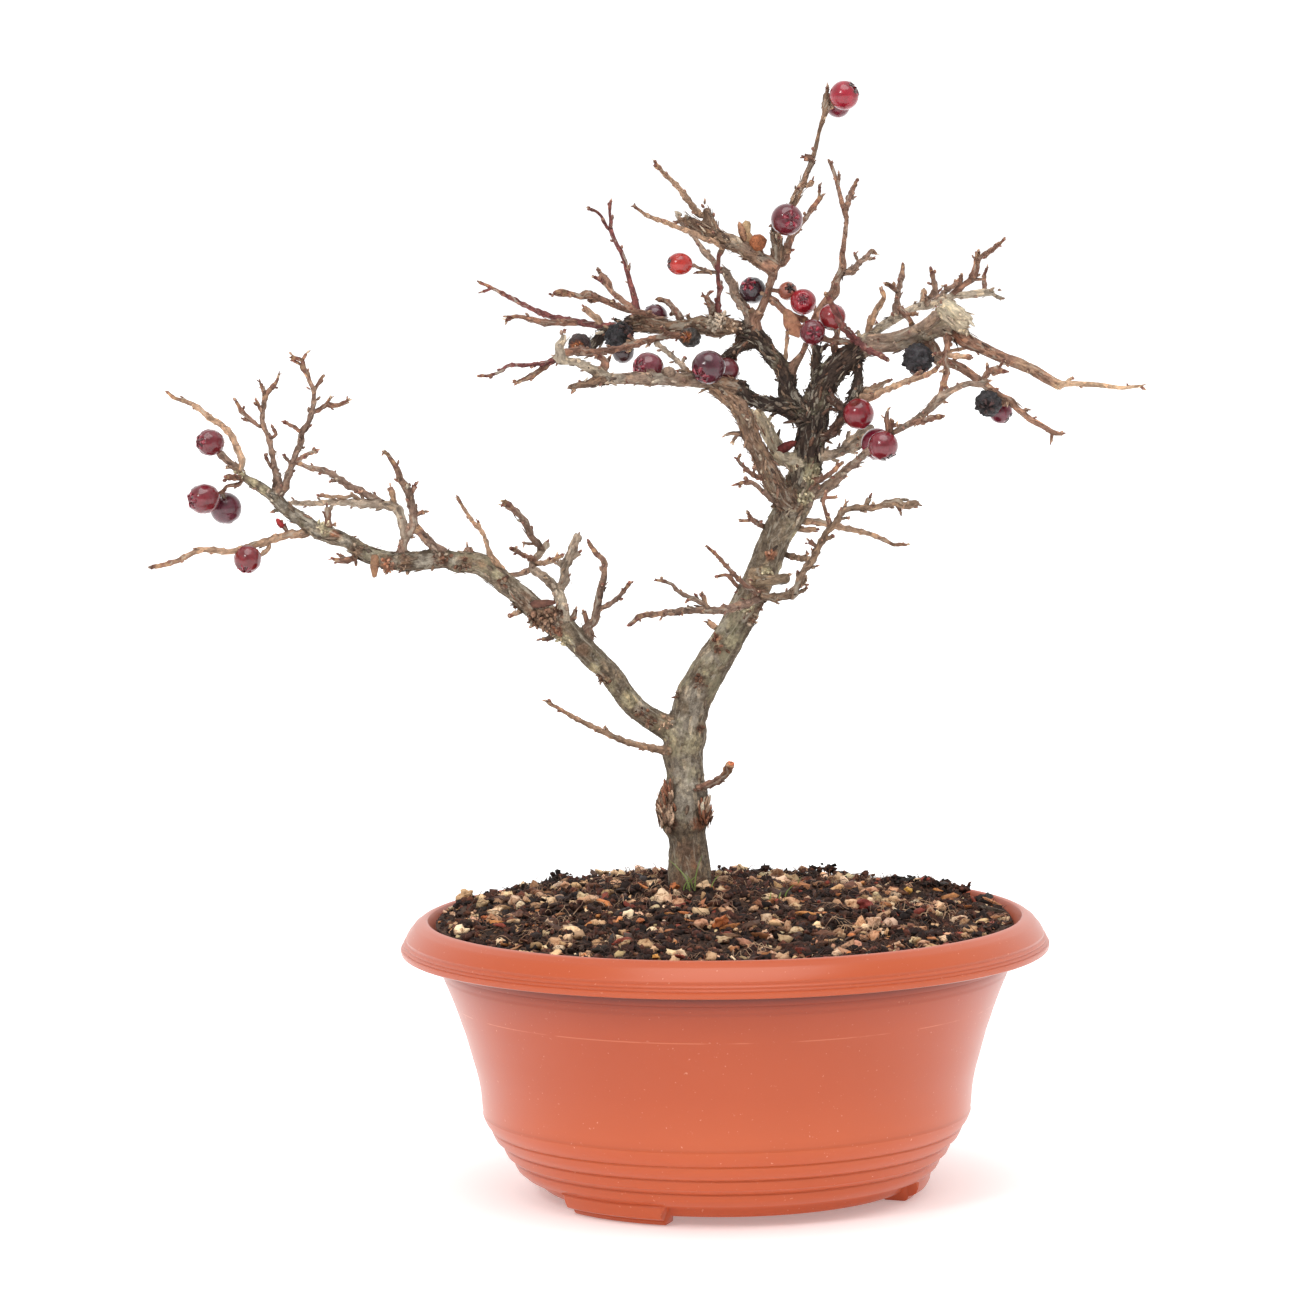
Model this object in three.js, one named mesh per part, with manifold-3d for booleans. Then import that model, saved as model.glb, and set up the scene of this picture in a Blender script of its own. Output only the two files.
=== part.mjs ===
import * as THREE from 'three';
import { mergeVertices } from 'three/addons/utils/BufferGeometryUtils.js';
import Module from 'manifold-3d';

// Potted cotoneaster bonsai: round pot on three feet, soil with grit, one grown tree, berries, dry leaves
// Millimetres, +Z up, front towards -Y. The model is laid out about the pot's axis with the floor at z = 0

const wasm = await Module();
wasm.setup();

// Driving dimensions
const POT_HEIGHT = 90;
const RIM_RADIUS = 104.6;
const POT_SIDES = 42;
const FOOT_ANGLES = [-35.7, 84.3, 204.3];
const FOOT_WIDTH = 35;
const SKIRT_HEIGHT = 7;
const GAP = 0.35;
const SOIL_EDGE_HEIGHT = 88.2;
const SOIL_MOUND = 7.2;
const SOIL_HEAP = 2.6;
const TRUNK = new THREE.Vector2(-11, 18);
const GRIT_COUNT = 42;
const THINNEST_TWIG = 0.45;
const LEAF_THICKNESS = 0.8;
const SMALLEST_STEP = 0.2;
const STRAIGHT_ENOUGH = 0.7;
// Branches are laid out on a plane through the trunk and swung in depth along lines from this far point
const VIEW = new THREE.Vector3(-23, -1800, 355);
const LAYOUT_Y = TRUNK.y;

function random(seed) {
  let state = seed;
  return () => {
    state = (state * 1664525 + 1013904223) % 4294967296;
    return state / 4294967296;
  };
}

// Solids

function solid(geometry) {
  const bare = geometry.clone();
  bare.deleteAttribute('normal');
  bare.deleteAttribute('uv');
  const merged = mergeVertices(bare, 1e-4);
  const mesh = new wasm.Mesh({
    numProp: 3,
    vertProperties: new Float32Array(merged.attributes.position.array),
    triVerts: new Uint32Array(merged.index.array),
  });
  return new wasm.Manifold(mesh);
}

function geometryOf(manifold) {
  const mesh = manifold.getMesh();
  const geometry = new THREE.BufferGeometry();
  geometry.setAttribute('position', new THREE.BufferAttribute(mesh.vertProperties, 3));
  geometry.setIndex(new THREE.BufferAttribute(mesh.triVerts, 1));
  return geometry;
}

function largestPiece(manifold) {
  const pieces = manifold.decompose();
  pieces.sort((a, b) => b.volume() - a.volume());
  return pieces[0];
}

// Lathes turn about +Y, so each is stood up with its axis along +Z
function turned(profile, sides) {
  const points = profile.map(([radius, height]) => new THREE.Vector2(radius, height));
  const geometry = new THREE.LatheGeometry(points, sides);
  geometry.rotateX(Math.PI / 2);
  return geometry;
}

// Pot

function potWallProfile() {
  return [
    [0, 2.5], [60, 2.5], [62, SKIRT_HEIGHT], [66, SKIRT_HEIGHT], [69, 11.5], [72.5, 16.5], [76, 21.5],
    [78.9, 27], [80.6, 40], [85.5, 56.7], [91, 70.4], [92.4, 79.2], [103.7, 79.2], [RIM_RADIUS, 80.8],
    [103, 84], [97.4, POT_HEIGHT], [95.8, POT_HEIGHT], [91, 81.5], [86.2, 64.4], [81.6, 51],
    [77.3, 34], [75.2, 25], [64, 7.5], [60, 6], [0, 6],
  ];
}

function foot(angle) {
  const ring = solid(turned([
    [54, 0], [61.7, 0], [62.4, 1.4], [65.6, 2.2], [66, SKIRT_HEIGHT], [66.4, SKIRT_HEIGHT + 2], [60, 4.5],
    [54, 4.5], [54, 0],
  ], POT_SIDES));
  const half = THREE.MathUtils.degToRad(FOOT_WIDTH / 2);
  const middle = THREE.MathUtils.degToRad(angle) - Math.PI / 2;
  const wedge = new THREE.Shape();
  wedge.moveTo(0, 0);
  wedge.lineTo(80 * Math.cos(middle - half), 80 * Math.sin(middle - half));
  wedge.lineTo(84 * Math.cos(middle), 84 * Math.sin(middle));
  wedge.lineTo(80 * Math.cos(middle + half), 80 * Math.sin(middle + half));
  wedge.closePath();
  const block = new THREE.ExtrudeGeometry(wedge, { depth: 20, bevelEnabled: false });
  block.translate(0, 0, -5);
  return ring.intersect(solid(block));
}

function pot() {
  let body = solid(turned(potWallProfile(), POT_SIDES));
  for (const angle of FOOT_ANGLES) {
    body = body.add(foot(angle));
  }
  return body;
}

// Branches

// A centre line's points are x z radius depth. Radius and depth are left out where they change evenly
function readLine(text) {
  const rows = text.split(',').map((item) => item.trim().split(/\s+/).map(Number));
  return rows.map(([x, z, radius, depth]) => ({ x, z, radius, depth }));
}

function fillEvenly(rows, key) {
  let last = 0;
  for (let i = 1; i < rows.length; i += 1) {
    if (rows[i][key] === undefined && i < rows.length - 1) continue;
    rows[i][key] ??= rows[last][key];
    let total = 0;
    const along = [0];
    for (let j = last + 1; j <= i; j += 1) {
      total += Math.hypot(rows[j].x - rows[j - 1].x, rows[j].z - rows[j - 1].z);
      along.push(total);
    }
    for (let j = last + 1; j < i; j += 1) {
      const part = along[j - last] / total;
      rows[j][key] = rows[last][key] + (rows[i][key] - rows[last][key]) * part;
    }
    last = i;
  }
}

// The nearest place on the parent's centre line is where a branch is rooted
function rootOn(parent, x, z) {
  let best = { distance: Infinity };
  for (let i = 1; i < parent.length; i += 1) {
    const a = parent[i - 1];
    const b = parent[i];
    const dx = b.x - a.x;
    const dz = b.z - a.z;
    const t = THREE.MathUtils.clamp(((x - a.x) * dx + (z - a.z) * dz) / (dx * dx + dz * dz), 0, 1);
    const near = { x: a.x + dx * t, z: a.z + dz * t, depth: a.depth + (b.depth - a.depth) * t };
    near.distance = Math.hypot(x - near.x, z - near.z);
    if (near.distance < best.distance) best = near;
  }
  return best;
}

// Points that stand off the straight run between their neighbours by less than the tolerance are left out
function thinned(rows, tolerance) {
  const first = rows[0];
  const last = rows[rows.length - 1];
  let worst = 0;
  let index = 0;
  for (let i = 1; i < rows.length - 1; i += 1) {
    const t = i / (rows.length - 1);
    const along = ((rows[i].x - first.x) * (last.x - first.x) + (rows[i].z - first.z) * (last.z - first.z))
      / Math.max(1e-6, (last.x - first.x) ** 2 + (last.z - first.z) ** 2);
    const share = THREE.MathUtils.clamp(along, 0, 1) || t;
    const off = Math.hypot(
      rows[i].x - first.x - (last.x - first.x) * share,
      rows[i].z - first.z - (last.z - first.z) * share,
      0.3 * (rows[i].depth - first.depth - (last.depth - first.depth) * share),
      rows[i].radius - first.radius - (last.radius - first.radius) * share,
    );
    if (off > worst) {
      worst = off;
      index = i;
    }
  }
  if (worst < tolerance || index === 0) return [first, last];
  const before = thinned(rows.slice(0, index + 1), tolerance).slice(0, -1);
  return [...before, ...thinned(rows.slice(index), tolerance)];
}

function place(row) {
  const reach = (LAYOUT_Y + row.depth - VIEW.y) / (LAYOUT_Y - VIEW.y);
  return new THREE.Vector3(row.x, LAYOUT_Y, row.z).sub(VIEW).multiplyScalar(reach).add(VIEW);
}

function sidesFor(radius) {
  if (radius > 6) return 12;
  if (radius > 3.6) return 8;
  if (radius > 1.9) return 6;
  if (radius > 1.25) return 5;
  if (radius > 0.85) return 4;
  return 3;
}

// A closed cylinder whose rings are moved onto the centre line's points, each square to the line
function bentTube(rows, extra = 0) {
  const points = rows.map(place);
  const curve = new THREE.CatmullRomCurve3(points);
  const widest = Math.max(...rows.map((row) => row.radius));
  const sides = sidesFor(widest);
  const last = rows.length - 1;
  const geometry = new THREE.CylinderGeometry(1, 1, 1, sides, last);
  const frames = [];
  let normal = new THREE.Vector3(0.31, 0.95, 0.05);
  for (let i = 0; i <= last; i += 1) {
    const tangent = curve.getTangent(i / last);
    normal = normal.clone().addScaledVector(tangent, -normal.dot(tangent)).normalize();
    frames.push({ tangent, normal, side: new THREE.Vector3().crossVectors(tangent, normal) });
  }
  const position = geometry.attributes.position;
  for (let v = 0; v < position.count; v += 1) {
    const ring = Math.round((position.getY(v) + 0.5) * last);
    const { tangent, normal: across, side } = frames[ring];
    const radius = Math.max(rows[ring].radius, THINNEST_TWIG) + extra;
    const out = points[ring].clone();
    out.addScaledVector(across, position.getZ(v) * radius);
    out.addScaledVector(side, position.getX(v) * radius);
    const onAxis = Math.hypot(position.getX(v), position.getZ(v)) < 1e-6;
    if (onAxis && ring === last) out.addScaledVector(tangent, radius * 0.5);
    if (onAxis && ring === 0) out.addScaledVector(tangent, -radius * 0.2 - extra);
    position.setXYZ(v, out.x, out.y, out.z);
  }
  return geometry;
}

// Centre lines: name, the branch it grows from, points
const BRANCHES = [
  ['trunk', '', `-11 66 7.6 0, -11 84 7.5, -11 100 7.2, -11.4 110 6.4, -11.8 114 6.3, -12.3 117.5 8.2,
    -12.9 123.5 8.9, -12.2 128.5 7.9, -12 132 6.3, -12.2 136 6.2, -12.8 141 6.8, -11.7 146 7,
    -10.8 152 6.1, -8.3 160 6.3, -2.4 170 5.8 2, 3.9 180 5.3, 9 190 5.2 4, 14 200 5.2, 18 210 5.2 4,
    21.5 216.5 5.4, 25 223 6 2, 28 232 5, 29.5 240 4.9 0, 31 250 5 0`],
  ['left', 'trunk', `-16 148 4.4, -25 153.2 3.6, -30 157.8 3.7, -36 166.5 3.8, -42 172.5 3.8,
    -48 179 3.8 -14, -54 184 4.8, -60 188 3.8, -66 193.5 3.4, -72 198.5 3.5, -78 203 3.6, -85 203.7 3.5,
    -90 204.8 3, -100 204.1 3.3 -18, -108 204.5 3, -115 207 2.9, -120 210.5 2.3, -125 212.3 2.7,
    -130 214.4 2.6, -135.2 218 2.4, -139.5 221 2.3, -143.5 225, -148 228.5 1.8, -152.3 231.2,
    -155.3 233.3 1.2 -8`],
  ['right', 'trunk', `31 250 5, 33 257 4.6, 36 262.5 4.2, 40.5 267 3.8, 45 270.3 3.6, 49.8 271.8 3,
    53.9 272.2 2.6, 58 272.6 2.8 -2, 62.2 273.8 2.6, 66.3 275.9 3, 70.4 277.6 3.2, 73.7 277.8 3.4 -6,
    76.7 276.7 3, 80.3 273.4 2.7, 85.3 270.9 2.1, 89.4 268.8 2, 95.6 266.3 2, 99.7 264.5 1.9,
    103 262.8 2, 108.4 259.5 1.7 -22, 110.5 258.6 1.7, 112.1 259 1, 116.2 259 .9, 124.5 258.2 .8,
    130.7 257.5 .6, 136.5 258 .45 -34`],
  ['mid', 'trunk', `27 250 3.4, 22.4 252.4 2.8, 18 253.3 2.6, 13.5 254.3 2.3, 10 255.9 2.2, 7 258.4 3,
    3 259.8 2.6, -2 260.8 2.5 -7, -10 261.8 2.4, -15 261.9 2.2, -20 262 1.9, -22 262 2.4, -25.8 262.5 2,
    -35 262.3 1.9, -38.4 262 1.7, -42 260.8 1.3, -45.3 260.4 1.2, -48.1 259.8 1.1 -36`],
  ['upper', 'trunk', `27 250 4.4, 24.5 253.5 3.4, 22.9 256.4 3.2, 22.5 259.9 3, 21.7 263.4 2.9,
    19.5 266.9 2.7, 16.9 269.9 2.6, 14.8 273 2.8, 12.2 275.6 3, 9.6 277.3 2.6, 6.2 278.5 2.3,
    2.7 278.9 3, 0 278.7 3.5, -5 279.6 2.9, -10 279.3 2.1, -15 279 2.1, -20 279.5 2.9, -25 280.8 3.4,
    -31 278.5 2.2, -36 277.5 1.9, -38 275.5 1.8, -41 273 1.7 20`],
  ['leader', 'upper', `12.3 277 2.4, 11.9 281 2, 13.8 283.3 1.5, 15.3 286.5 1.4, 16.2 288.7,
    17.1 292 1.3, 18.1 295.6 1.4, 19 298.3 1.7, 19.6 300.1 2.2, 19.8 304.3 1.9, 18.8 308.6 1.5,
    20 312.5 1.4, 23.3 316, 25.5 319.1 1.4, 26.4 321.5, 27.9 324.1 1.3, 29.1 327.1 1.1, 30.4 330 1,
    31.3 332.6, 32.8 338 .9, 33.8 342.2 .85, 35.2 346.4 1, 36 349.4 1.6, 36 352.7 1.3, 36.3 355 .6 16`],
  // Twigs low on the stem
  ['', 'trunk', `-19.5 141.5 1.3 -6, -24 142.5 1.1, -30 144, -35 146, -46 151.5 .8, -57 158 .5 -44`],
  ['', 'trunk', `-7.6 129 1.2 -5, -4.6 130, -1.5 131.3, 1 133.3, 2.4 136.5 1.3 -16`],
  ['cross', 'trunk', `12 190.6 1.3 -5, 10 189.5, 5 188 1.2, 0 186.8, -10 187 1.1, -20 186,
    -25.5 185.5 .9, -29.5 182.5 .7 -42`],
  ['crossR', 'trunk', `14 191.3 1.3 -6, 21.5 191.5 1.3 -8, 27.5 197 1.1 -10`],
  ['', 'cross', `-4 188 .8, -8.2 190.5, -13.4 193, -16 195.8, -20.5 197 .5 -30`],
  ['', 'cross', `-4.6 188.3 .8, -5.5 192 .6`],
  ['', 'trunk', `-1 181 1, -4.2 183 .8`],
  ['', 'trunk', `12.3 192 1 -5, 7.6 195.5 .8, 3 200.2, -.7 204.5, -3.9 207.5 .5 -28`],
  ['', 'trunk', `5.5 194.7 .8 2, 2.5 198.2, -.5 198 .5`],
  ['', 'trunk', `14 196.3 1.9 -3, 22.3 197.2 1.8 -8`],
  ['rise', 'crossR', `23.3 191 1.2, 27.2 199.4 1.1, 29.8 202.4 1.3, 31.9 207 1.1, 35 212.2, 37.9 215.2,
    40 218.6 1, 44.3 219.7 .9, 49.7 219.6, 52.3 220.2 1, 57 221.4 1.3, 59.9 220.1, 63.4 220.9 1.1,
    64.6 220.5 .5 -36`],
  ['', 'rise', `40 218.6 .8, 40.9 221 .5`],
  ['', 'rise', `47 219.6 .8, 48.6 222.7 .9`],
  ['', 'rise', `57.5 220.6 .8, 58.6 218.4 .6`],
  ['', 'trunk', `22.7 204.3 1, 27.4 203.3 .9, 30.4 203 .9 -14`],
  ['', 'rise', `31.5 207 .7, 29 209 .8`],
  ['', 'rise', `35.7 215.3 .7, 33.9 220 .6, 34.2 222.8, 37.4 223.1 .5`],
  ['', 'trunk', `26.9 215.7 1.1, 31.3 215.3 1.1, 36.9 213.9, 42.5 212.7, 48.9 211 .8, 53.1 209.2,
    56.5 207.6, 60.5 207.5 .5 22`],
  ['', 'trunk', `26.2 213 .9, 31.3 212.8 .7`],
  ['low', 'trunk', `14.3 214 .9, 10.9 216, 9.2 218.6 .6 -14`],
  ['', 'low', `10.9 216 .6, 7.3 215.9 .5`],
  ['', 'trunk', `17 223 .9 -6, 11.7 227.6, 9.6 228.5, 5.5 227.8 .5 -18`],
  // Fork: flaky limb to the mid limb, its cut stub and twigs
  ['flaky', 'trunk', `20 224 4 -3, 15 234 3.2, 11 242 2.9, 9.2 247.8 3, 7 251.8 2.8, 4.5 255,
    1 257.8 2.6, -2 259.5 2.4 -7`],
  ['', 'trunk', `21 236 2.6, 18 241 2.5, 12.2 251.8 2 7`],
  ['', 'flaky', `16 229 .9, 10.9 231, 7.9 233.7, 6.2 235.8, 6.8 237 .5 -22`],
  ['', 'flaky', `8 244 .9, 4.9 244.3, 2.6 243.8 .5`],
  ['', 'trunk', `33.5 243 1.6 -3, 36.5 243.8 1.5, 38.8 246.5 1.5, 40.3 250 1.4 -8, 39 253 1.4,
    36.5 255 1.5, 33.5 256 1.4 -2`],
  // Right-hand twigs from the stem
  ['reach', 'trunk', `31.3 224.4 2, 33 225.3 2, 37.2 228.2 1.9, 40.1 231.2 1.4, 44.4 234.6,
    47.8 237.6 1.3, 52 240.8, 56 243.5 1, 60.2 245.8 1.2, 64 248 1.3, 67.9 251 1.3, 70.9 254.2 1.8,
    74.2 256.6 1.3, 77.5 258.2 1, 80.8 259.4, 84.2 259 .9, 86.5 258.6 .6 -48`],
  ['', 'reach', `54.9 243 .8, 54.4 248.5 .8, 54.7 250.9 .5 -20`],
  ['', 'reach', `55.5 243.2 .9, 56.1 247.8 .8 -26`],
  ['', 'reach', `62 246.8 1, 67 247.8 .9, 69.6 248.6 1, 72.6 248.9 .6 -44`],
  ['pale', 'trunk', `34 236.6 1.6, 39.5 238 1.5, 47.8 241.3 1.5 14`],
  ['', 'pale', `40.5 239.5 1.2, 44.8 243 1.2, 49.5 245.5 1.1 20`],
  ['', 'trunk', `33 229 .9 -6, 39.8 234.3 .6 -14`],
  // Left limb's outer end
  ['', 'left', `-154.3 237 1.1, -155.5 241.3, -157.6 245.8, -160.6 249, -164 251.2, -168 254.8 .9,
    -171.4 256.6, -175.4 257.9, -178 259.8 .5 14`],
  ['', 'left', `-156 235 1.2, -160.5 239 1.1, -164.4 243.4 .6 -12`],
  ['', 'left', `-154.4 231.8 1, -159.2 232.2 .9 -16`],
  ['stalks', 'left', `-155.3 229.8 .7, -159.2 229.2 .6, -160.6 227.5 .6, -166.8 225.2 .5 -14`],
  ['', 'stalks', `-160.6 227.5 .6, -159.7 222 .5 -5.5`],
  ['lower', 'left', `-133.6 213.7 1.4, -139.2 213.3 1.3, -143 212.3, -150 210.2, -155.4 208.5,
    -159.7 208 1, -167.6 208.7, -172 207, -176.6 204.9, -181 203.8 .8, -184 203.4 .6 -38`],
  ['', 'lower', `-146 209.2 .8, -149 206.6 .6, -153 205.4 .5 -24`],
  ['', 'lower', `-139.8 214 .6, -141.3 216.5 .9`],
  ['tallL', 'left', `-142 227.9 1.6, -143.2 232.5 1.2, -144.2 238.5, -145.1 243.2 1, -146.3 247.2,
    -147.4 250.1, -147.1 253.4 .9, -146.7 255.9, -146.2 258.1, -144.9 260.2 .9, -143 262,
    -141.8 264.9 .4 12`],
  ['', 'tallL', `-146.2 258.1 .6, -147.8 262.5 .45`],
  ['', 'tallL', `-146.9 248.7 .8, -148.8 248.7 .6, -151.4 251, -154 253.6 .8, -155.7 256.6 .4 0`],
  ['', 'tallL', `-147.2 252 .5, -149.1 256.7 .5`],
  ['', 'tallL', `-144.7 235 .6, -146.5 238.6 .5`],
  ['', 'tallL', `-145 244.5 .6, -143 245.8 .6, -144 247.6 .5`],
  ['tallR', 'left', `-140.9 227.8 1.5, -139 233 1.2, -136.6 239.8 1.1, -135.1 242.9, -134.7 245.9,
    -132.8 249.1 1, -131.6 252, -130.8 254.9, -130.6 257.8, -130.4 260, -131.8 262.6, -132.5 265.1 .9,
    -133.9 267.4 .8, -134.2 269.6, -137.4 270.7 .6 -34`],
  ['', 'tallR', `-134.2 269.6 .6, -132.8 271.7 .5`],
  ['', 'tallR', `-130.4 260 .7, -127.7 264.1 .5 -24`],
  ['', 'tallR', `-135 246.5 .6, -137.7 248.5, -140.2 249.7 .6 -30`],
  ['side', 'tallR', `-131.4 252.4 .8, -128.6 253.8 .7, -126.8 255.1 .8, -123.5 254.9 .8,
    -120 255.9 .6 -14`],
  ['', 'side', `-126.8 255.1 .6, -125.4 257 .5`],
  ['', 'tallR', `-136.8 237 .7, -132.9 239.2 .7, -130.3 240.4 .5 -32`],
  ['loop', 'left', `-103.3 206.5 1.7, -102 211 1.6, -99.3 215.8, -99.2 219.8 1.5, -100 224.2,
    -101.2 228.2, -102.9 230.4 1.3, -104.2 234.3 1, -107.2 239.2 .6 -34`],
  ['', 'loop', `-99.6 226 .8, -98.4 228.6 .8`],
  ['', 'loop', `-98.5 219 .8, -95.6 220.2 .7`],
  ['', 'left', `-90 207 1.5, -94 210.2, -99 216 1.4 -22`],
  ['flat', 'loop', `-102 213 1.6, -103 218.6, -104.8 221.7, -108.8 222.6 1.5, -115 223.1,
    -123.8 223.6 1.2, -132.5 223.3, -138.4 223.6 .7 6`],
  ['', 'flat', `-108.8 223.2 1.2, -113.1 225.3, -116.6 227.5, -120.1 229, -123.6 231.6, -127.9 233.9 1,
    -132.3 234.8, -136 236.5 .7 14`],
  ['', 'flat', `-105.2 223.5 1, -106.3 228.3 .8`],
  ['', 'flat', `-115.9 223.9 .7, -118.5 225.6 .6, -121.1 225.2, -129.2 225.7 .5 -2`],
  ['', 'left', `-126.7 216 1.2, -127 222 .9 -14`],
  ['', 'left', `-118.3 205.6 1, -122.2 204.5 .9, -125.3 205.2 .6 -20`],
  ['', 'left', `-107.6 203 1.2, -107.9 200.7 1.1`],
  ['', 'left', `-81 205 1.8, -81.8 208.6 1.2`],
  // Twigs along the left limb
  ['', 'left', `-70.4 200.5 .9, -71.7 202.6, -74.6 206.6, -76.3 212.3, -80.2 217.2, -82.4 220.7,
    -84.6 224.7 .5 -40`],
  ['pair', 'left', `-51 185.7 2.2, -51.4 190.1 2, -52.7 193.3 2 -4`],
  ['pairR', 'pair', `-50.4 197.6 1.6, -50.4 201, -48.6 204.6, -47.3 208.5, -45.5 212.2 1.3 -2`],
  ['', 'pairR', `-48.9 204 1, -45.6 206.4 1.2`],
  ['', 'pairR', `-50.4 201 1, -52.4 203.6 .9`],
  ['pairL', 'pair', `-55.7 197.2 1.5, -58.3 199.4, -60.9 201.2 1.3, -60 204.2 1.2, -57.4 206.8,
    -55.7 209.8 1 8`],
  ['', 'pairL', `-60.9 201.2 1, -64.5 199.5, -68.4 199.1 .8 4`],
  ['', 'pairL', `-60 204.2 .9, -63.5 205.6, -67.5 208 .7 -14`],
  ['', 'pairL', `-57.4 206.8 1.1, -58.4 208.7, -61 211.8, -63.1 216.6, -66.2 220.2, -69.7 223.2 1 -2`],
  ['', 'pairL', `-59.8 202.6 .8, -53.9 203.7 .7, -52.8 205 .6 -8`],
  ['arm', 'left', `-42.7 179 1.7, -43.1 182.1, -41 183.8, -40 187.8 1.5, -39.1 193, -37.8 197.4 1.2,
    -37.5 200.9, -37.7 203.6, -40.3 206.2 .9, -42.5 209.8 .6 -34`],
  ['', 'arm', `-39.2 187.8 .9, -35.7 189.5, -32.6 192, -30.8 194.2, -29.5 195.9 .6 -30`],
  ['', 'arm', `-43 183 1, -44.4 187 .8`],
  ['', 'left', `-64.8 187.5 .9, -68.3 185.9 .7 -24`],
  ['', 'left', `-54.9 179 .9, -58 178.2 .7`],
  ['', 'left', `-47.9 185 .9, -46.9 187.7 .7`],
  // Crown, left half
  ['', 'upper', `10.5 273.5 2, 6.1 271.4 1.6, 3.3 270.1 1.3, 1.6 268.8 1 0, -3 265.7 .6 -14`],
  ['', 'upper', `6.1 271.4 1.4, 2.8 264.5 .7 -1`],
  ['', 'mid', `-9.5 262 1.6, -9.5 265 1.4`],
  ['', 'mid', `-22 262 2.4, -21.4 266 .8, -22.5 265.8 .6 -12`],
  ['plume', 'upper', `-25.7 281 3, -25.7 284 1.3, -26.3 287.3, -27.7 292.6 .9, -28.8 296.9 .8,
    -29.8 300.9 .8, -30.7 303.3, -32.1 305.7 .7, -33.4 308.7, -34 310.7 .8 30`],
  ['', 'plume', `-34 310.7 .8, -35.1 311.2 .6, -37 314.8 .5, -38.6 316.3, -40.3 317.1 .45 26`],
  ['', 'plume', `-34 310.7 .8, -34 312.8 .5, -34.2 317.2 .5, -33.8 319.2 .45 34`],
  ['tuft', 'plume', `-26.5 284.5 1.2, -29.8 287 1.1, -31.6 288.7, -34 290.6 1, -35 293 1.6, -36 294 1.8,
    -38 297.6 .6 36`],
  ['', 'tuft', `-36 293.5 .8, -39.4 295.3 .5`],
  ['', 'upper', `-20 281.9 1, -24 283.6 1, -28.9 284.5, -34.8 287, -40 289.2 1.3, -42.4 289.6 1.7,
    -44 289 1.1, -46.5 289.7 1, -50 290.3 1.5, -53.5 290 .8 -14`],
  ['long', 'upper', `-31 279 1.2, -34.6 279.5 1, -40 280 1.1, -50 281.8 1.1, -55.2 283.4 .9,
    -59.9 285.5, -65.8 288.6 .75, -71.8 291.8 .6, -76.4 294.1 .45 56`],
  ['', 'long', `-72.5 292.2 .5, -75.3 291 .45`],
  ['', 'long', `-45 280.8 1.1, -51 280.7 1, -56.2 280.9 1.1, -59.9 281.9 .9, -64 282.8 .6,
    -67.8 282.8 .45 24`],
  ['', 'long', `-37.5 280 1.1, -38.6 282, -40.5 283.2 1, -42.9 285.7 .8`],
  ['sweep', 'upper', `-11.5 276.5 1.3, -16 276.2 1.2, -20 275.3 1, -23.7 274.4, -27.1 273.4 1.2,
    -31.4 272.2 1, -37.5 271.3, -42.6 271 1.2, -47.2 271.5 1.1, -51.5 269.6 1.2, -55.5 267 1.1,
    -58.2 264.9 1, -61.3 263.1 .9, -64.6 261.7 .5 -26`],
  ['', 'sweep', `-27.1 273.4 .9, -31.5 276 .6 7`],
  ['', 'sweep', `-27.1 273.4 .9, -30.5 271 .6 13.8`],
  ['', 'sweep', `-42.6 271 .9, -44.5 273.5 .6 4`],
  ['', 'sweep', `-52 268.7 .8, -55.2 268 .7, -60.4 267.2, -67.4 267.1, -69.8 265.5 .6, -73 264.1,
    -76.8 263.9 .45 -44`],
  ['', 'mid', `-36 263 1.8, -38 264.5 1.8, -40 265.4, -43.2 266.7 1.6, -46 268 1.3, -48.3 268.3 1.3,
    -50.5 269 2, -50.8 271.2 1.7, -51.2 273.5 1.4, -49.8 275.4 1.2, -49.3 277.5 .9 -40`],
  ['', 'mid', `-37 264 1.4, -36.4 268 1.2, -38.5 269.8 1`],
  ['', 'mid', `-10 264.5 .8, -13 268, -19.9 273.9 .8 8`],
  ['', 'upper', `-11.9 281.5 1.2, -13.6 284.2, -15.8 286.8, -19 288 .7 24`],
  ['', 'upper', `-1.3 282.5 1.4, -1.9 285.1 1.3, -2.7 287.3 .9, -4.2 288.7 .5 2`],
  // Crown, middle
  ['', 'leader', `28.5 323.8 .8, 30.5 324.3 .8, 31.2 325.5 .7`],
  ['', 'leader', `30.2 332.6 1.2, 28.6 332.8 1`],
  ['', 'leader', `12 283 1, 10.6 284.3 .9`],
  ['', 'leader', `21.5 302.5 .9, 24 303.1 .9`],
  ['', 'leader', `19.2 306.5 .8, 22.8 313 .6 4`],
  ['', 'leader', `36.2 350 1, 38.5 350.5 .8, 41.7 352.6 .7 13`],
  ['', 'leader', `36 348.5 .8, 39.6 349.4 .7 21.5`],
  ['', 'leader', `21.3 299 1.6, 23.1 304.4 1.4, 24 307 1.2, 28.4 312.8 .9, 30.5 315.7, 32.7 318.6 .8,
    34.2 320.5 .5 26`],
  ['bough', 'leader', `18.5 297.5 3, 16 299 2.9, 12.1 301.5 2.6, 8.3 304.4 2.6, 4.5 306 2.7,
    1.4 307.3 2.3, -2.4 309.3 2, -6.2 311.4 2.2, -8.7 312.7 1.8, -10.4 314 1.3 0`],
  ['prong', 'bough', `-.7 309.5 1.9, -1.7 312.5 1.8, -2.8 314.6 1.8, -3.6 318.4 .5`],
  ['', 'prong', `-5.1 314.8 1.1, -7.6 317.8 1, -10.1 321.3 .9, -13.4 325.3, -16.8 328.5 .75,
    -19.5 332.2 .45 -24`],
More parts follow.
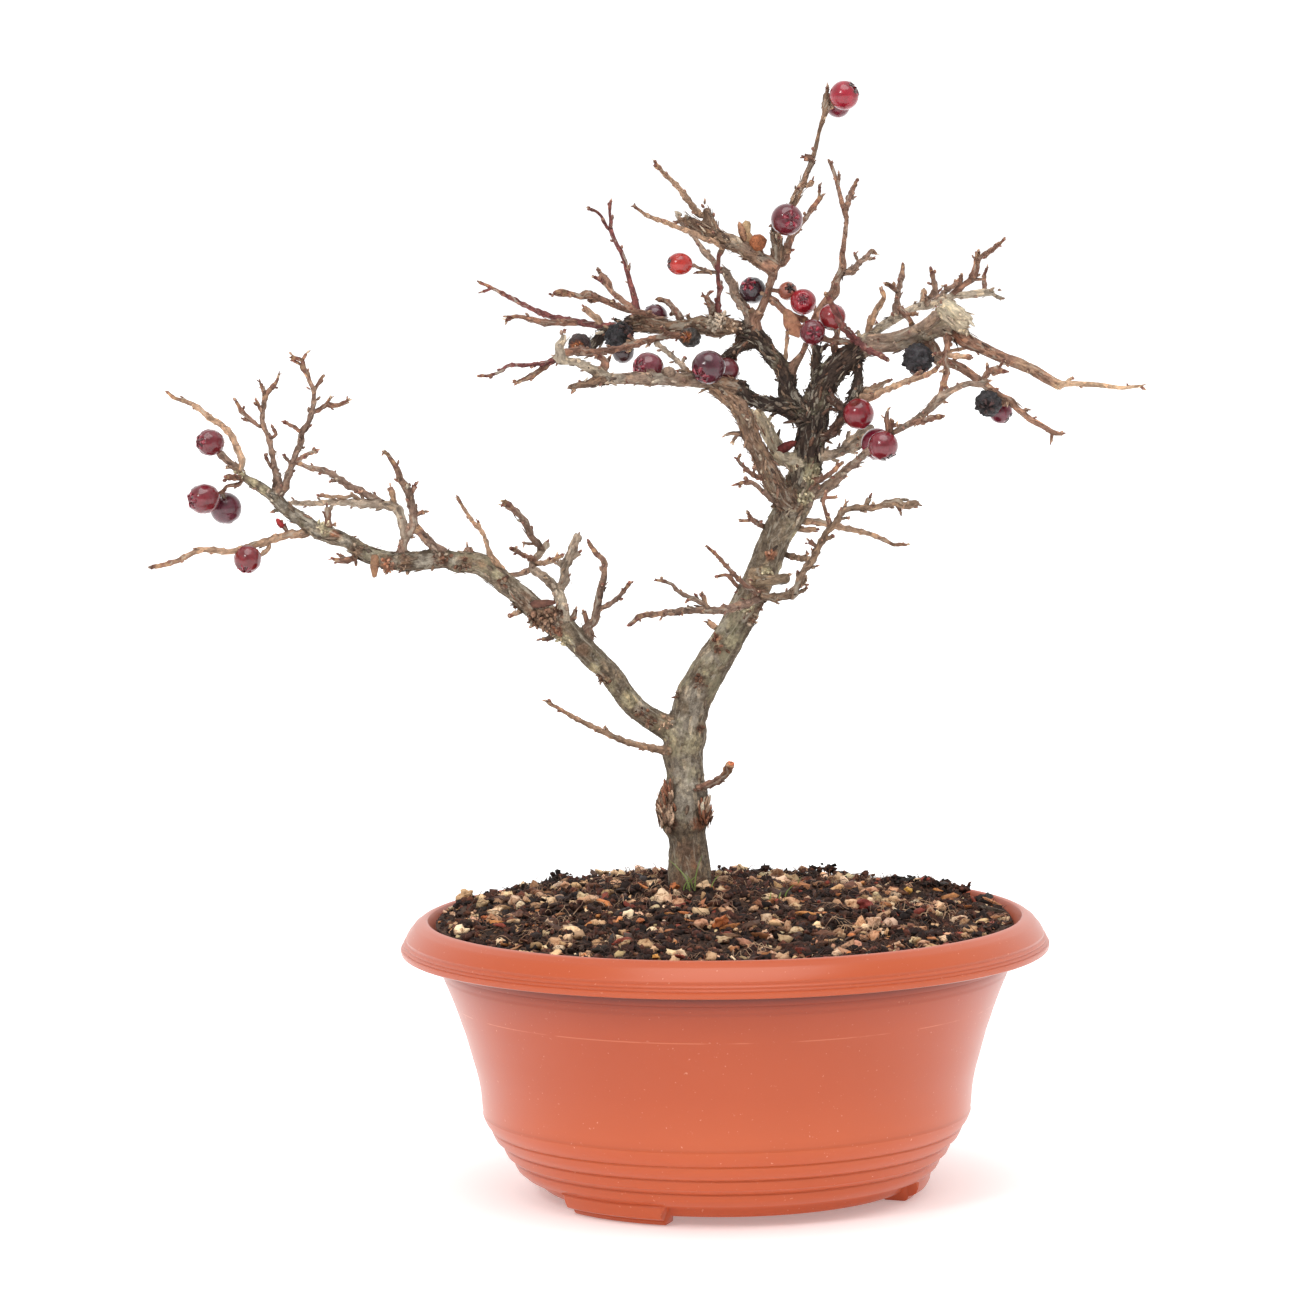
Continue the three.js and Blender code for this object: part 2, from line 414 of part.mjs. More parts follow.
  ['', 'upper', `10.8 280 1.8, 8.7 285.4 1.6, 6 288.7 1.7, 5.3 292 1.6, 3.9 294.2 1.5, 2.8 296.6 1.4,
    0 297.7 1.1, -1.2 300.2, -4.1 303.2 1.2, -5.4 305.3 .9, -8.4 309.5 .8, -10.9 312.5 1,
    -12.8 315 .5 40`],
  ['thin', 'upper', `0 282.5 1.1, .3 285.7 .9, .6 288.9 .7, 1 291.4 .9, .4 294.5 .7, .5 299 .7,
    1 302 .8, 2.6 305 .8 4`],
  ['', 'thin', `2 303.8 .9, 0 305.9 .9, -4.7 307.5, -7.3 309, -12 310.8 .8, -16.2 312.6, -20.3 314 .7,
    -23 315.4 .6, -26 317.6 .45 -22`],
  ['', 'thin', `0 296.4 .6, -3.4 296.9 .5, -7.6 298.8 .5, -11.9 299.2 .5 -6`],
  ['', 'thin', `0 296.4 .5, -6.4 296.3 .5 2`],
  ['', 'leader', `16.8 287.9 1.2, 19.8 285.5, 22 283.3, 25.6 281.5, 29 280.5 1 6`],
  ['', 'leader', `16.8 290.4 .7, 22.8 290 .6 8`],
  ['', 'leader', `15.9 288.7 .7, 11.6 290.4 .6 13.6`],
  ['', 'upper', `-9 279.4 .9, -8.9 275.4 .7 5`],
  // Crown, right half
  ['grey', 'right', `47 274 1.8, 50.5 276.2 1.5, 53.8 278.7 1.6, 57.2 280.7 1.7, 60.5 282.4 1.5,
    64.6 284.4 1.4, 68.4 284.8 1.5, 72.5 286.4 1.4, 76.7 288 1.3, 80 288, 86.3 288.7 1.5,
    88.7 288.7 1.2, 90.8 289.5 .6 40`],
  ['', 'right', `48.8 274 1.6, 53.8 274.5 1.5, 57.9 275.2 1.5, 61.2 276 1.8, 65 277.5 1.7, 68.8 280 1.7,
    71 282.4 1.7 -10`],
  ['', '', `72.6 284.8 3.1 -10, 76.5 281.6 3.5, 80.7 278.2 3.2 -11`],
  ['', 'grey', `48.8 275.8 1.1, 49.2 278.9, 50.9 282.6 1.1, 52.6 285.4 .9, 53.9 287.8, 53.3 289.9 .6 -6`],
  ['spike', 'grey', `57.9 282 1.5, 57.9 283.6 1.5, 58.2 286.9 1, 58.7 289.8 .9, 59.3 293.1 1, 60 296 .8,
    60.1 298.1 .5 24`],
  ['', 'spike', `58.6 289 .8, 55.9 291.4, 54.5 291.9 .8 10`],
  ['', 'grey', `59 284 .9 4, 62 280.3 .9, 62.8 278.6 .8 -4`],
  ['', 'grey', `67 284.3 1, 68.3 286.8 .9, 69.7 288.4, 70.4 290 1, 69.8 293.3, 69 296.4 .6 8`],
  ['', 'grey', `66.2 284.3 1, 66.7 289.5 .9 24`],
  ['', 'grey', `70 286 .9, 74.7 290 .8, 77.7 291.6 .9, 77.9 292.8 .6 36`],
  ['crest', 'grey', `75.5 287.6 1.1, 76.3 288.7, 79.6 291.2 1, 82.1 293.2, 83.4 295.7 1.3, 84 298.6 1,
    84.3 301.9 .9 24`],
  ['', 'crest', `84 299.4 .8, 87.2 301.4 .9, 89.7 303, 92.6 305.6 .45 14`],
  ['', 'crest', `82 292.9 .7, 84.9 293 .5`],
  ['', 'grey', `86.3 289 .9, 86.2 294.2 .6 44`],
  ['', 'right', `45.4 273.2 1.2 -2, 43 275.6 1.2, 40.1 279, 38.5 282.7 1.1, 36.4 286.9, 35.2 289 .6 -18`],
  ['', 'right', `45.4 273.2 1 -5, 48.7 270.7 1, 52.4 269, 54.8 267.5 .8 -16`],
  ['hold', 'right', `42.4 273.1 1 -2, 36.7 273.7 1, 33.5 275 1, 30.7 276.6 .6 -6`],
  ['', 'hold', `39 273.5 .8, 37.2 281.5 .6 -2`],
  ['', 'right', `38 268 1, 38 273 1, 39 277 .8 8`],
  ['back', 'upper', `23.5 263.5 1.8, 24.6 266 1.8, 27.3 269.7 1.1, 28.3 272, 30 277 1.2, 32 282 1.4 12,
    35 286, 37.9 289.4 1.9, 38.3 292.3 1.5, 39.6 295.2 1.3, 40.7 297.6 1.4, 40.5 301 1.2, 41 304.3 1,
    41.5 308.4, 42 312.6 .9, 41.5 315.4 1, 40.8 317.5 .9, 40.1 320.2 .8, 38.7 326.1 .7, 37.6 329.4,
    36.7 331.5 .6 48`],
  ['', 'back', `42 316 .9, 42.9 319.5 1, 43.8 321.5 .9, 44.9 323.9 .5 56`],
  ['', 'back', `40.5 295.5 1.2, 43.6 296.4 1.2, 46.1 298.8 .9, 48.5 300.8, 49.9 302.5 .8,
    51.5 301.6 .5 38`],
  ['', 'right', `31.8 260 2, 31.8 266 1.9, 32.3 272.3 1.7 6`],
  ['', 'upper', `21.5 267 .6, 22 269, 22.6 277 .6 1`],
  ['drop', 'right', `44.9 266.5 1.6, 45.3 262.9 1.5, 45.2 259.6 1.9, 44.3 256.3 2, 42.6 253.4 1.6,
    40 250 1.5 -8`],
  ['', 'drop', `44.3 256.3 .9, 45.4 250 .6 -13`],
  ['far', 'drop', `45.5 255.5 1.2, 48 255.3 1.1, 50 255.3 1, 53.4 257.4, 57.5 259, 61.6 260.6 .9,
    65.8 261.8, 70 263.8, 71.7 266.2 .7 -34`],
  ['', 'far', `61.6 260.6 .7, 65 263.2 .6 -22`],
  ['', 'drop', `46 257.5 1.2, 50.6 258.1 1.2, 53.5 260 .7, 55.6 260.8 .5 4`],
  ['fall', 'right', `68 273 2, 70.1 270.6 2, 70.6 267.5 1.8, 73.3 266.5 1.6, 76.3 265.6, 79.1 264.3 1.6,
    82.4 261.9 1.5, 85.9 259.3 1.5, 88 257.5 1.4, 91.4 255.1 1.3, 94.7 253.5 1.4, 96.4 251.2 1.1,
    98.4 249.7, 100.2 248.1 1.1, 104.4 245.6 .9, 108.1 243.4 .9, 110.5 242.7 .6 -30`],
  ['', 'fall', `88.5 257.1 .9, 87.2 252.9 .7 -22`],
  ['', 'fall', `93 254.3 .9, 91.3 250.2 .7 -15`],
  ['', 'fall', `107.9 243.3 .7, 107.6 241 .5`],
  ['dip', 'right', `74.4 274 1.3 -9, 74.1 270.6 1.1, 73.4 267.3, 74 265.2, 73.3 261 1, 72.4 258.6,
    71.5 255.5 .6 -22`],
  ['', 'fall', `71.6 269 .8, 76.2 270.2 .6, 80.4 271 .5 -2`],
  ['', 'dip', `74.1 268.6 .9, 78.3 268.3 .9, 81.6 267.9 .8 -20`],
  ['', 'fall', `85.3 260.3 1, 87.8 263.2 .9, 90.3 263.6 1.3, 92.9 263.2 .6 -30`],
  ['', 'right', `64.5 272.5 .9, 64.7 267.4 .7 -11`],
  ['', 'reach', `50 239.3 .8, 53.2 239.6 .6 -24.5`],
  ['', 'reach', `50 239.3 .8, 51.2 240.2 .6 -11.3`],
];

function growBranches() {
  const lines = { '': null };
  const tubes = [];
  for (const [name, parent, text] of BRANCHES) {
    const rows = readLine(text);
    if (lines[parent]) {
      const root = rootOn(lines[parent], rows[0].x, rows[0].z);
      const lift = Math.hypot(root.distance, (rows[0].depth ?? root.depth) - root.depth);
      rows[0].depth ??= root.depth;
      if (lift > 0.8) rows.unshift({ x: root.x, z: root.z, radius: rows[0].radius, depth: root.depth });
    }
    fillEvenly(rows, 'radius');
    fillEvenly(rows, 'depth');
    if (name) lines[name] = rows;
    tubes.push(rows);
  }
  return tubes;
}

// Berries: x z depth, radius across, half length, axis direction as x y z towards the dried flower's end
const BERRIES = [
  [41.7, 352.6, 13, 4.4, 4.6, 0.75, 0.1, 0.6, 0xc4161c],
  [39.6, 349.4, 21.5, 3.8, 4, 0.5, 0.7, -0.3, 0x8e1420],
  [22.8, 313, 4, 4.9, 5, 0.85, -0.35, 0.2, 0x6c1626],
  [-11.9, 299.2, -6, 3.3, 4, -0.95, -0.2, 0.1, 0xc4391f],
  [11.6, 290.4, 13.6, 4.1, 4.8, 0.1, 0.3, -0.95, 0x2c1119],
  [27.8, 286.5, 4, 4, 4.2, 0.35, -0.4, 0.8, 0xc01a1c],
  [22.8, 290, 8, 2.6, 4.1, 0.15, -0.1, 0.98, 0x7a2a1a],
  [30.7, 276.6, -6, 4, 4.2, -0.25, -0.95, 0.1, 0x7e1420],
  [37.2, 281.5, -2, 4.1, 4.3, 0.2, 0.3, 0.9, 0xa81a1e],
  [-20, 282.3, 22.5, 3.9, 4.1, -0.2, 0.3, 0.9, 0x5c1420],
  [-22.5, 265.8, -12, 4.8, 5, -0.9, -0.3, 0.2, 0x8c2028],
  [-3, 265.7, -14, 5.2, 5.4, -0.6, -0.5, -0.5, 0x5a101c],
  [2.8, 264.5, -1, 4.1, 4.2, 0.6, 0.5, -0.5, 0x6e1620],
  [-31.5, 276, 7, 4, 4.3, -0.6, -0.2, -0.6, 0x1c1418],
  [-44.5, 273.5, 4, 3.7, 3.9, -0.2, -0.8, -0.5, 0x2a1512],
  [-8.9, 275.4, 5, 3.2, 4.6, 0.1, -0.3, -0.95, 0x4a3a34],
  [64.7, 267.4, -11, 5.1, 5.3, 0.1, -0.5, -0.85, 0x201a20],
  [87.2, 252.9, -22, 4.3, 4.5, -0.1, -0.95, -0.2, 0x1e1a1e],
  [91.3, 250.2, -15, 3.6, 3.8, 0.75, -0.2, -0.6, 0x701a2c],
  [45.4, 250, -13, 4.7, 4.9, 0.15, -0.35, -0.9, 0xc81a1a],
  [53.2, 239.6, -24.5, 4.6, 4.7, 0.3, -0.6, -0.7, 0xae1c22],
  [51.2, 240.2, -11.3, 4.9, 5, -0.4, 0.6, -0.7, 0xa0181e],
  [-164.4, 243.4, -12, 4.2, 4.7, -0.8, -0.3, 0.5, 0x8a1a20],
  [-166.8, 225.2, -14, 4.7, 5.3, -0.95, -0.2, -0.2, 0x8e1c24],
  [-159.7, 222, -5.5, 4.9, 5.1, 0.3, 0.4, -0.85, 0x7c2030],
  [-153, 205.4, -24, 4.2, 4.5, -0.7, -0.3, -0.6, 0x8a1a20],
  [-30.5, 271, 13.8, 3.5, 3.7, -0.2, 0.4, -0.9, 0x3a0e14],
];

function berryForm(across, half, extra) {
  const a = across + extra;
  const h = half + extra;
  const form = turned([
    [0, -h], [a * 0.62, -h * 0.84], [a, -h * 0.2], [a * 0.96, h * 0.36], [a * 0.5, h * 0.93], [0, h],
  ], 8);
  return form;
}

function berryGeometry([x, z, depth, across, half, ax, ay, az], extra = 0) {
  const form = berryForm(across, half, extra);
  const axis = new THREE.Vector3(ax, ay, az).normalize();
  form.applyQuaternion(new THREE.Quaternion().setFromUnitVectors(new THREE.Vector3(0, 0, 1), axis));
  const at = place({ x, z, depth });
  form.translate(at.x, at.y, at.z);
  return form;
}

// Dry leaves: flat outlines with their stalk's end inside, standing square to the view
const LEAVES = [
  ['dry_leaf_01', 1, 0x9c6a50,
    '21.2 283.8, 22.8 284.7, 25 282.5, 27.2 279.3, 27.7 276.7, 26.4 275, 22.9 276.3, 21.3 279.4'],
  ['dry_leaf_02', -19.5, 0x6a4030,
    '-62 189.8, -60.5 191, -56 191.2, -53 190.6, -53.4 189.7, -57 188.8, -60.8 188.6'],
  ['dry_leaf_03', 6, 0xb89a74,
    '11.8 305, 12.2 307.4, 11 309, 11.3 312.4, 9.4 313, 7.6 311, 8.2 308, 9.6 306'],
  ['dry_leaf_04', -20.2, 0x8a6448,
    '-110.6 206.6, -110.4 203, -111.3 199.2, -112.6 199.2, -113.4 202.6, -112.9 206.4'],
];

function leafGeometry(depth, text, extra = 0) {
  const points = readLine(text).map(({ x, z }) => place({ x, z, depth }));
  const middle = points.reduce((sum, p) => sum.add(p), new THREE.Vector3()).divideScalar(points.length);
  const shape = new THREE.Shape(points.map((p) => {
    const out = new THREE.Vector2(p.x - middle.x, p.z - middle.z);
    return out.setLength(out.length() + extra);
  }));
  const depthOfBlade = LEAF_THICKNESS + 2 * extra;
  const geometry = new THREE.ExtrudeGeometry(shape, { depth: depthOfBlade, bevelEnabled: false });
  geometry.rotateX(Math.PI / 2);
  geometry.translate(middle.x, middle.y + LEAF_THICKNESS / 2 + extra, middle.z);
  return geometry;
}

// Tree: every branch fused into one, cut back by the gap where a berry or a leaf sits, one piece kept
function tree() {
  const tubes = growBranches().map((rows) => solid(bentTube(thinned(rows, STRAIGHT_ENOUGH))));
  let wood = wasm.Manifold.union(tubes);
  const cuts = BERRIES.map((berry) => solid(berryGeometry(berry, GAP)));
  cuts.push(...LEAVES.map(([, depth, , text]) => solid(leafGeometry(depth, text, GAP))));
  wood = wood.subtract(wasm.Manifold.union(cuts)).simplify(SMALLEST_STEP);
  return largestPiece(wood);
}

// Soil: filled to the pot's inside, mounded round the trunk, with grit sunk in and a hole for the stump
function soilHeight(x, y) {
  const fromTrunk = Math.hypot(x - TRUNK.x, y - TRUNK.y);
  const mound = SOIL_MOUND * Math.max(0, 1 - (fromTrunk / 95) ** 1.6);
  const ends = -0.8 * (Math.abs(x) / 92) ** 3;
  const long = 0.9 * Math.sin(x * 0.11 + 1) * Math.cos(y * 0.13);
  const waves = long + 0.5 * Math.sin(x * 0.31) * Math.sin(y * 0.27 + 2);
  const heap = SOIL_HEAP * Math.exp(-(((x - 68) / 17) ** 2) - ((y - 50) / 14) ** 2);
  return SOIL_EDGE_HEIGHT + mound + ends + waves + heap;
}

function soilBody() {
  const geometry = turned([
    [0, 6 + GAP], [59.8, 6 + GAP], [63.6, 7.9], [74.75, 25.2], [76.9, 34.1], [81.2, 51.1], [85.8, 64.5],
    [90.6, 81.6], [93, 86], [88.5, 88], [66, 88], [42, 88], [20, 88], [0, 88],
  ], POT_SIDES);
  const position = geometry.attributes.position;
  for (let v = 0; v < position.count; v += 1) {
    if (position.getZ(v) > 86) {
      position.setZ(v, soilHeight(position.getX(v), position.getY(v)));
    }
  }
  return solid(geometry);
}

function grit() {
  const next = random(41);
  const lumps = [];
  for (let i = 0; i < GRIT_COUNT; i += 1) {
    const size = 1.7 + next() ** 2 * 3.2;
    const angle = next() * Math.PI * 2;
    const out = Math.sqrt(next()) * (88 - size);
    const x = out * Math.cos(angle);
    const y = out * Math.sin(angle);
    const lump = new THREE.IcosahedronGeometry(size, 0);
    lump.scale(1, 0.6 + next() * 0.5, 0.5 + next() * 0.4);
    lump.rotateZ(next() * Math.PI * 2);
    lump.rotateX((next() - 0.5) * 1.2);
    const sunk = 0.15 + next() * 0.3;
    lump.translate(x, y, soilHeight(x, y) + size * (0.3 - sunk));
    const clear = Math.hypot(x - TRUNK.x, y - TRUNK.y) > size + 9;
    if (clear) lumps.push(solid(lump));
  }
  return wasm.Manifold.union(lumps);
}

function soil() {
  const trunkRows = thinned(growBranches()[0], STRAIGHT_ENOUGH);
  const hole = solid(bentTube(trunkRows, GAP));
  return largestPiece(soilBody().add(grit()).subtract(hole));
}

// Materials

function material(color, roughness) {
  return new THREE.MeshStandardMaterial({ color, roughness, metalness: 0 });
}

const object = new THREE.Group();
const plant = new THREE.Group();
object.add(plant);

function addNode(name, geometry, look) {
  const mesh = new THREE.Mesh(geometry, look);
  mesh.name = name;
  plant.add(mesh);
}

addNode('pot', geometryOf(pot()), material(0xb5562f, 0.42));
addNode('soil', geometryOf(soil()), material(0x2e241d, 0.95));
addNode('tree', geometryOf(tree()), material(0x6e6455, 0.85));
BERRIES.forEach((berry, index) => {
  const name = `berry_${String(index + 1).padStart(2, '0')}`;
  addNode(name, geometryOf(solid(berryGeometry(berry))), material(berry[8], 0.4));
});
for (const [name, depth, color, text] of LEAVES) {
  addNode(name, geometryOf(solid(leafGeometry(depth, text))), material(color, 0.8));
}

// The origin is the middle of the whole object's box, at its foot
plant.updateMatrixWorld(true);
const box = new THREE.Box3().setFromObject(plant);
plant.position.set(-(box.min.x + box.max.x) / 2, -(box.min.y + box.max.y) / 2, -box.min.z);

export default object;
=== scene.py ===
import bpy, bmesh, math, random
from mathutils import Matrix, Vector, noise
from mathutils.kdtree import KDTree


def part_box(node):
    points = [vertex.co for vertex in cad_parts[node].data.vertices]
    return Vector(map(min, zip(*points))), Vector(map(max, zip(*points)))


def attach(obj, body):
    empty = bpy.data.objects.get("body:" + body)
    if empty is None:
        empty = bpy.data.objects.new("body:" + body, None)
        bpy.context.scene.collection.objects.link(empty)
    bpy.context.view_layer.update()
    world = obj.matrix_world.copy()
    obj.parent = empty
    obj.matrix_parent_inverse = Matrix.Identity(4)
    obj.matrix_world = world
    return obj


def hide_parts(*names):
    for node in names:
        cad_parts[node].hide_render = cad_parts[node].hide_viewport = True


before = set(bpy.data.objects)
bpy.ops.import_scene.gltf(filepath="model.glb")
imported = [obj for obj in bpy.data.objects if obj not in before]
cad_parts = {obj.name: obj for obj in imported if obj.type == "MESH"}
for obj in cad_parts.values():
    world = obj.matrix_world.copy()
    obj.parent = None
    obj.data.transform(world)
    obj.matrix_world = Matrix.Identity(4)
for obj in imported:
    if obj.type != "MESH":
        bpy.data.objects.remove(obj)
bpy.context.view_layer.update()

# Pot: a round plastic training pot, moulded in one piece in terracotta colour, with a rolled lip,
# a plain swelling wall, a stepped lower wall and three short feet where the skirt isn't cut away.
# Sizes are in millimetres about the pot's own axis, with the floor at zero.
MM = 0.001
pot_low, pot_high = (Vector(corner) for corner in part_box("pot"))
AXIS = Vector(((pot_low.x + pot_high.x) / 2, (pot_low.y + pot_high.y) / 2, 0))


def at(x, y, z):
    return AXIS + Vector((x, y, z)) * MM


def new_piece(name, mesh, stands_for, material):
    piece = bpy.data.objects.new(name, mesh)
    bpy.context.scene.collection.objects.link(piece)
    mesh.materials.append(material)
    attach(piece, "root")
    for node in stands_for:
        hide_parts(node)


def shade_smooth(mesh):
    mesh.polygons.foreach_set("use_smooth", [True] * len(mesh.polygons))


def mesh_from(shape, name):
    mesh = bpy.data.meshes.new(name)
    bmesh.ops.recalc_face_normals(shape, faces=shape.faces)
    shape.to_mesh(mesh)
    shape.free()
    shade_smooth(mesh)
    return mesh


def turned(points, steps):
    """A profile of radius and height, in metres, spun round the upright axis."""
    shape = bmesh.new()
    profile = [shape.verts.new((radius, 0, height)) for radius, height in points]
    edges = [shape.edges.new(pair) for pair in zip(profile, profile[1:])]
    bmesh.ops.spin(
        shape, geom=profile + edges, cent=(0, 0, 0), axis=(0, 0, 1), angle=math.tau, steps=steps,
        use_merge=True, use_duplicate=False,
    )
    return shape


def closed(shape, name):
    """Closes the ends of a turned shape, moves it to the pot's axis and makes the mesh."""
    bmesh.ops.holes_fill(shape, edges=[edge for edge in shape.edges if edge.is_boundary], sides=0)
    bmesh.ops.translate(shape, verts=shape.verts, vec=AXIS)
    return mesh_from(shape, name)


# Each point of the base: radius and height where a foot is, then where the skirt is cut away
BASE = [
    (0.2, 2.5, 0.2, 2.5), (30, 2.5, 30, 2.5), (52.5, 2.5, 52.5, 2.5), (53.4, 2.2, 56, 2.5), (53.8, 0.3, 58.5, 2.6),
    (54.4, 0, 59.6, 2.8), (60.9, 0, 60.4, 3.4), (61.5, 0.2, 60.9, 4.2), (61.9, 0.7, 61.3, 5.2), (62.2, 1.3, 61.8, 6.1),
    (62.1, 1.6, 62.4, 6.6), (63.4, 1.9, 63.4, 6.8), (64.8, 2.6, 64.6, 6.8), (65.6, 4.2, 65.4, 6.85),
    (66, 6.4, 66, 6.9), (65.7, 7, 66.1, 7.1), (66.2, 7.4, 66.4, 7.4),
]
# Each point of the wall, up the outside, over the lip and down the inside: radius and height
WALL = [
    (68, 8.6), (68.8, 10), (69.1, 11.2), (68.95, 11.7), (69.4, 12), (71.4, 13.4), (72.2, 15), (72.6, 16.2),
    (72.45, 16.7), (72.9, 17), (74.8, 18.4), (75.7, 20), (76.2, 21.2), (76.05, 21.7), (76.4, 22), (77.7, 23.6),
    (78.5, 25.2), (79, 26.6), (78.87, 27.3), (79.1, 29), (79.5, 34), (80.1, 37.7), (81, 41.5), (82.1, 45.3),
    (83.1, 49), (84.2, 53), (85.5, 56.7), (86.8, 60.6), (88.2, 64.4), (89.7, 68.2), (91, 71.2), (91.25, 71.9),
    (91.25, 72.3), (91.5, 72.9), (91.9, 74.4), (91.85, 74.8), (92.1, 75.4), (92.4, 78.4), (92.8, 79), (96, 79.2),
    (102.4, 79.2), (103.7, 78.9), (104.4, 79.3), (104.6, 80.1), (104.55, 80.8), (104.0, 81.1), (104.1, 81.6),
    (103.85, 81.8), (103.45, 82.1), (103.6, 82.7), (103.3, 83.0), (102.8, 83.3), (102.8, 84.2), (101.9, 85.8),
    (100.6, 87.3), (100.1, 88), (99.6, 88.3), (98.3, 89.3), (97.2, 89.8), (96.4, 89.9), (95.8, 89.6), (95.3, 88.7),
    (93.4, 84.6), (91, 81.2), (90, 76), (86.2, 64.4), (81.6, 51), (77.3, 34), (75.2, 25), (64, 7.5), (60, 6), (0.2, 6),
]
FEET = (-35.7, 84.3, 204.3)
FOOT_HALF = 17.6

outline = [row[:2] for row in BASE] + WALL
shape = turned([(radius * MM, height * MM) for radius, height in outline], 240)
cut_away = {(round(a, 2), round(b, 2)): (c, d) for a, b, c, d in BASE}
for vert in shape.verts:
    radius = math.hypot(vert.co.x, vert.co.y) / MM
    turn = math.degrees(math.atan2(vert.co.x, -vert.co.y))
    on_foot = any(abs((turn - foot + 180) % 360 - 180) < FOOT_HALF for foot in FEET)
    state = cut_away.get((round(radius, 2), round(vert.co.z / MM, 2)))
    if state and not on_foot:
        vert.co = Vector((vert.co.x / radius * state[0], vert.co.y / radius * state[0], state[1] * MM))
pot_mesh = closed(shape, "pot_moulding")
pot_mesh.set_sharp_from_angle(angle=math.radians(26))


def nodes_of(name, roughness, base=(0.8, 0.8, 0.8), **sockets):
    """A new material, its node tree and its shader; further sockets are named with underlines for spaces."""
    material = bpy.data.materials.new(name)
    material.use_nodes = True
    tree = material.node_tree
    shader = tree.nodes["Principled BSDF"]
    shader.inputs["Roughness"].default_value = roughness
    shader.inputs["Base Color"].default_value = (*base, 1)
    for socket, value in sockets.items():
        shader.inputs[socket.replace("_", " ")].default_value = value
    return material, tree, shader


def join(tree, source, target, into):
    """Links a node's own result, or that of a (node, output) pair, into an input."""
    made, output = source if isinstance(source, tuple) else (source, 2 if source.type == "MIX" else 0)
    tree.links.new(made.outputs[output], target.inputs[into])


def node(tree, kind, inputs, **settings):
    """A new node; an input is a plain value, a node, or a (node, output) pair."""
    made = tree.nodes.new("ShaderNode" + kind)
    for key, value in settings.items():
        setattr(made, key, value)
    for socket, value in inputs.items():
        if isinstance(value, bpy.types.Node) or isinstance(value, tuple) and isinstance(value[0], bpy.types.Node):
            join(tree, value, made, socket)
        else:
            made.inputs[socket].default_value = value
    return made


def object_space(tree):
    return node(tree, "TexCoord", {}), "Object"


def layer_of(tree, name, output="Color"):
    return node(tree, "Attribute", {}, attribute_name=name), output


def cloud(tree, scale, detail, source=None, **inputs):
    """Noise on the object's coordinates, or on those that the source gives."""
    return node(tree, "TexNoise", {"Scale": scale, "Detail": detail, "Vector": source or object_space(tree), **inputs})


def ramp(tree, stops, source):
    made = tree.nodes.new("ShaderNodeValToRGB")
    while len(made.color_ramp.elements) < len(stops):
        made.color_ramp.elements.new(0.5)
    for element, (place, colour) in zip(made.color_ramp.elements, stops):
        element.position = place
        element.color = (*colour, 1)
    join(tree, source, made, 0)
    return made


def times(tree, first, second):
    return node(tree, "Mix", {"Factor": 1.0, 6: first, 7: second}, data_type="RGBA", blend_type="MULTIPLY")


def laid_over(tree, factor, under, over):
    return node(tree, "Mix", {"Factor": factor, 6: under, 7: over}, data_type="RGBA")


def product(tree, first, second):
    return node(tree, "Math", {0: first, 1: second}, operation="MULTIPLY")


def bump(tree, shader, source, strength, distance, before=None):
    inputs = {"Strength": strength, "Distance": distance, "Height": source}
    made = node(tree, "Bump", {**inputs, "Normal": before} if before else inputs)
    join(tree, made, shader, "Normal")
    return made


terracotta, tree, shader = nodes_of(
    "terracotta_plastic", 0.34, Specular_IOR_Level=0.4, Coat_Weight=0.18, Coat_Roughness=0.2, Sheen_Weight=0.06,
    Sheen_Roughness=0.4,
)
tone = ramp(tree, [(0.3, (0.425, 0.067, 0.0155)), (0.7, (0.475, 0.082, 0.0205))], cloud(tree, 9, 3))
# Dust in tiny pale specks, and one fine scratch that runs round the wall
specks = ramp(tree, [(0.0, (0, 0, 0)), (0.70, (0, 0, 0)), (0.78, (0.6, 0.6, 0.6))], cloud(tree, 900, 2))
dusty = laid_over(tree, specks, tone, (0.72, 0.32, 0.2, 1))
height = (node(tree, "SeparateXYZ", {"Vector": object_space(tree)}), "Z")
line = node(tree, "MapRange", {"Value": height, "From Min": 0.0622, "From Max": 0.0630, "To Min": -1, "To Max": 1})
scored = ramp(tree, [(0, (1, 1, 1)), (0.6, (0, 0, 0))], node(tree, "Math", {0: line}, operation="ABSOLUTE"))
broken = ramp(tree, [(0.42, (0, 0, 0)), (0.52, (0.55, 0.55, 0.55))], cloud(tree, 60, 4))
scuffed = laid_over(tree, product(tree, broken, scored), dusty, (0.74, 0.26, 0.14, 1))
# Painted light and shade by height: the lower wall is painted lighter, with a darker line of painted shade in each
# groove between the rings, and the wall is painted darker and darker up under the lip as shade
LIP_BOTTOM = 79.2
rise = node(tree, "MapRange", {"Value": height, "From Min": 0, "From Max": LIP_BOTTOM * MM, "To Min": 0, "To Max": 1})
groove_shading = [(z / LIP_BOTTOM + off, (shade, shade * 1.06, shade * 1.12)) for z in (11.7, 16.7, 21.7, 27.3)
           for off, shade in ((-0.012, 1.12), (0, 1.0), (0.006, 1.1), (0.03, 1.12))]
painted_shade_by_height = ramp(tree, [(0, (1.12, 1.18, 1.25))] + groove_shading + [
    (0.55, (1, 0.98, 0.97)), (0.80, (0.93, 0.87, 0.84)), (0.88, (0.84, 0.74, 0.70)), (0.925, (0.74, 0.62, 0.58)),
    (0.95, (0.60, 0.47, 0.43)), (0.965, (0.40, 0.28, 0.24)), (0.976, (0.18, 0.10, 0.08)), (0.999, (0.16, 0.09, 0.07)),
    (1, (1, 1, 1)),
], rise)
join(tree, times(tree, scuffed, painted_shade_by_height), shader, "Base Color")
grain = bump(tree, shader, cloud(tree, 2400, 1), 0.06, 0.0002)
bump(tree, shader, cloud(tree, 26, 1), 0.10, 0.002, grain)
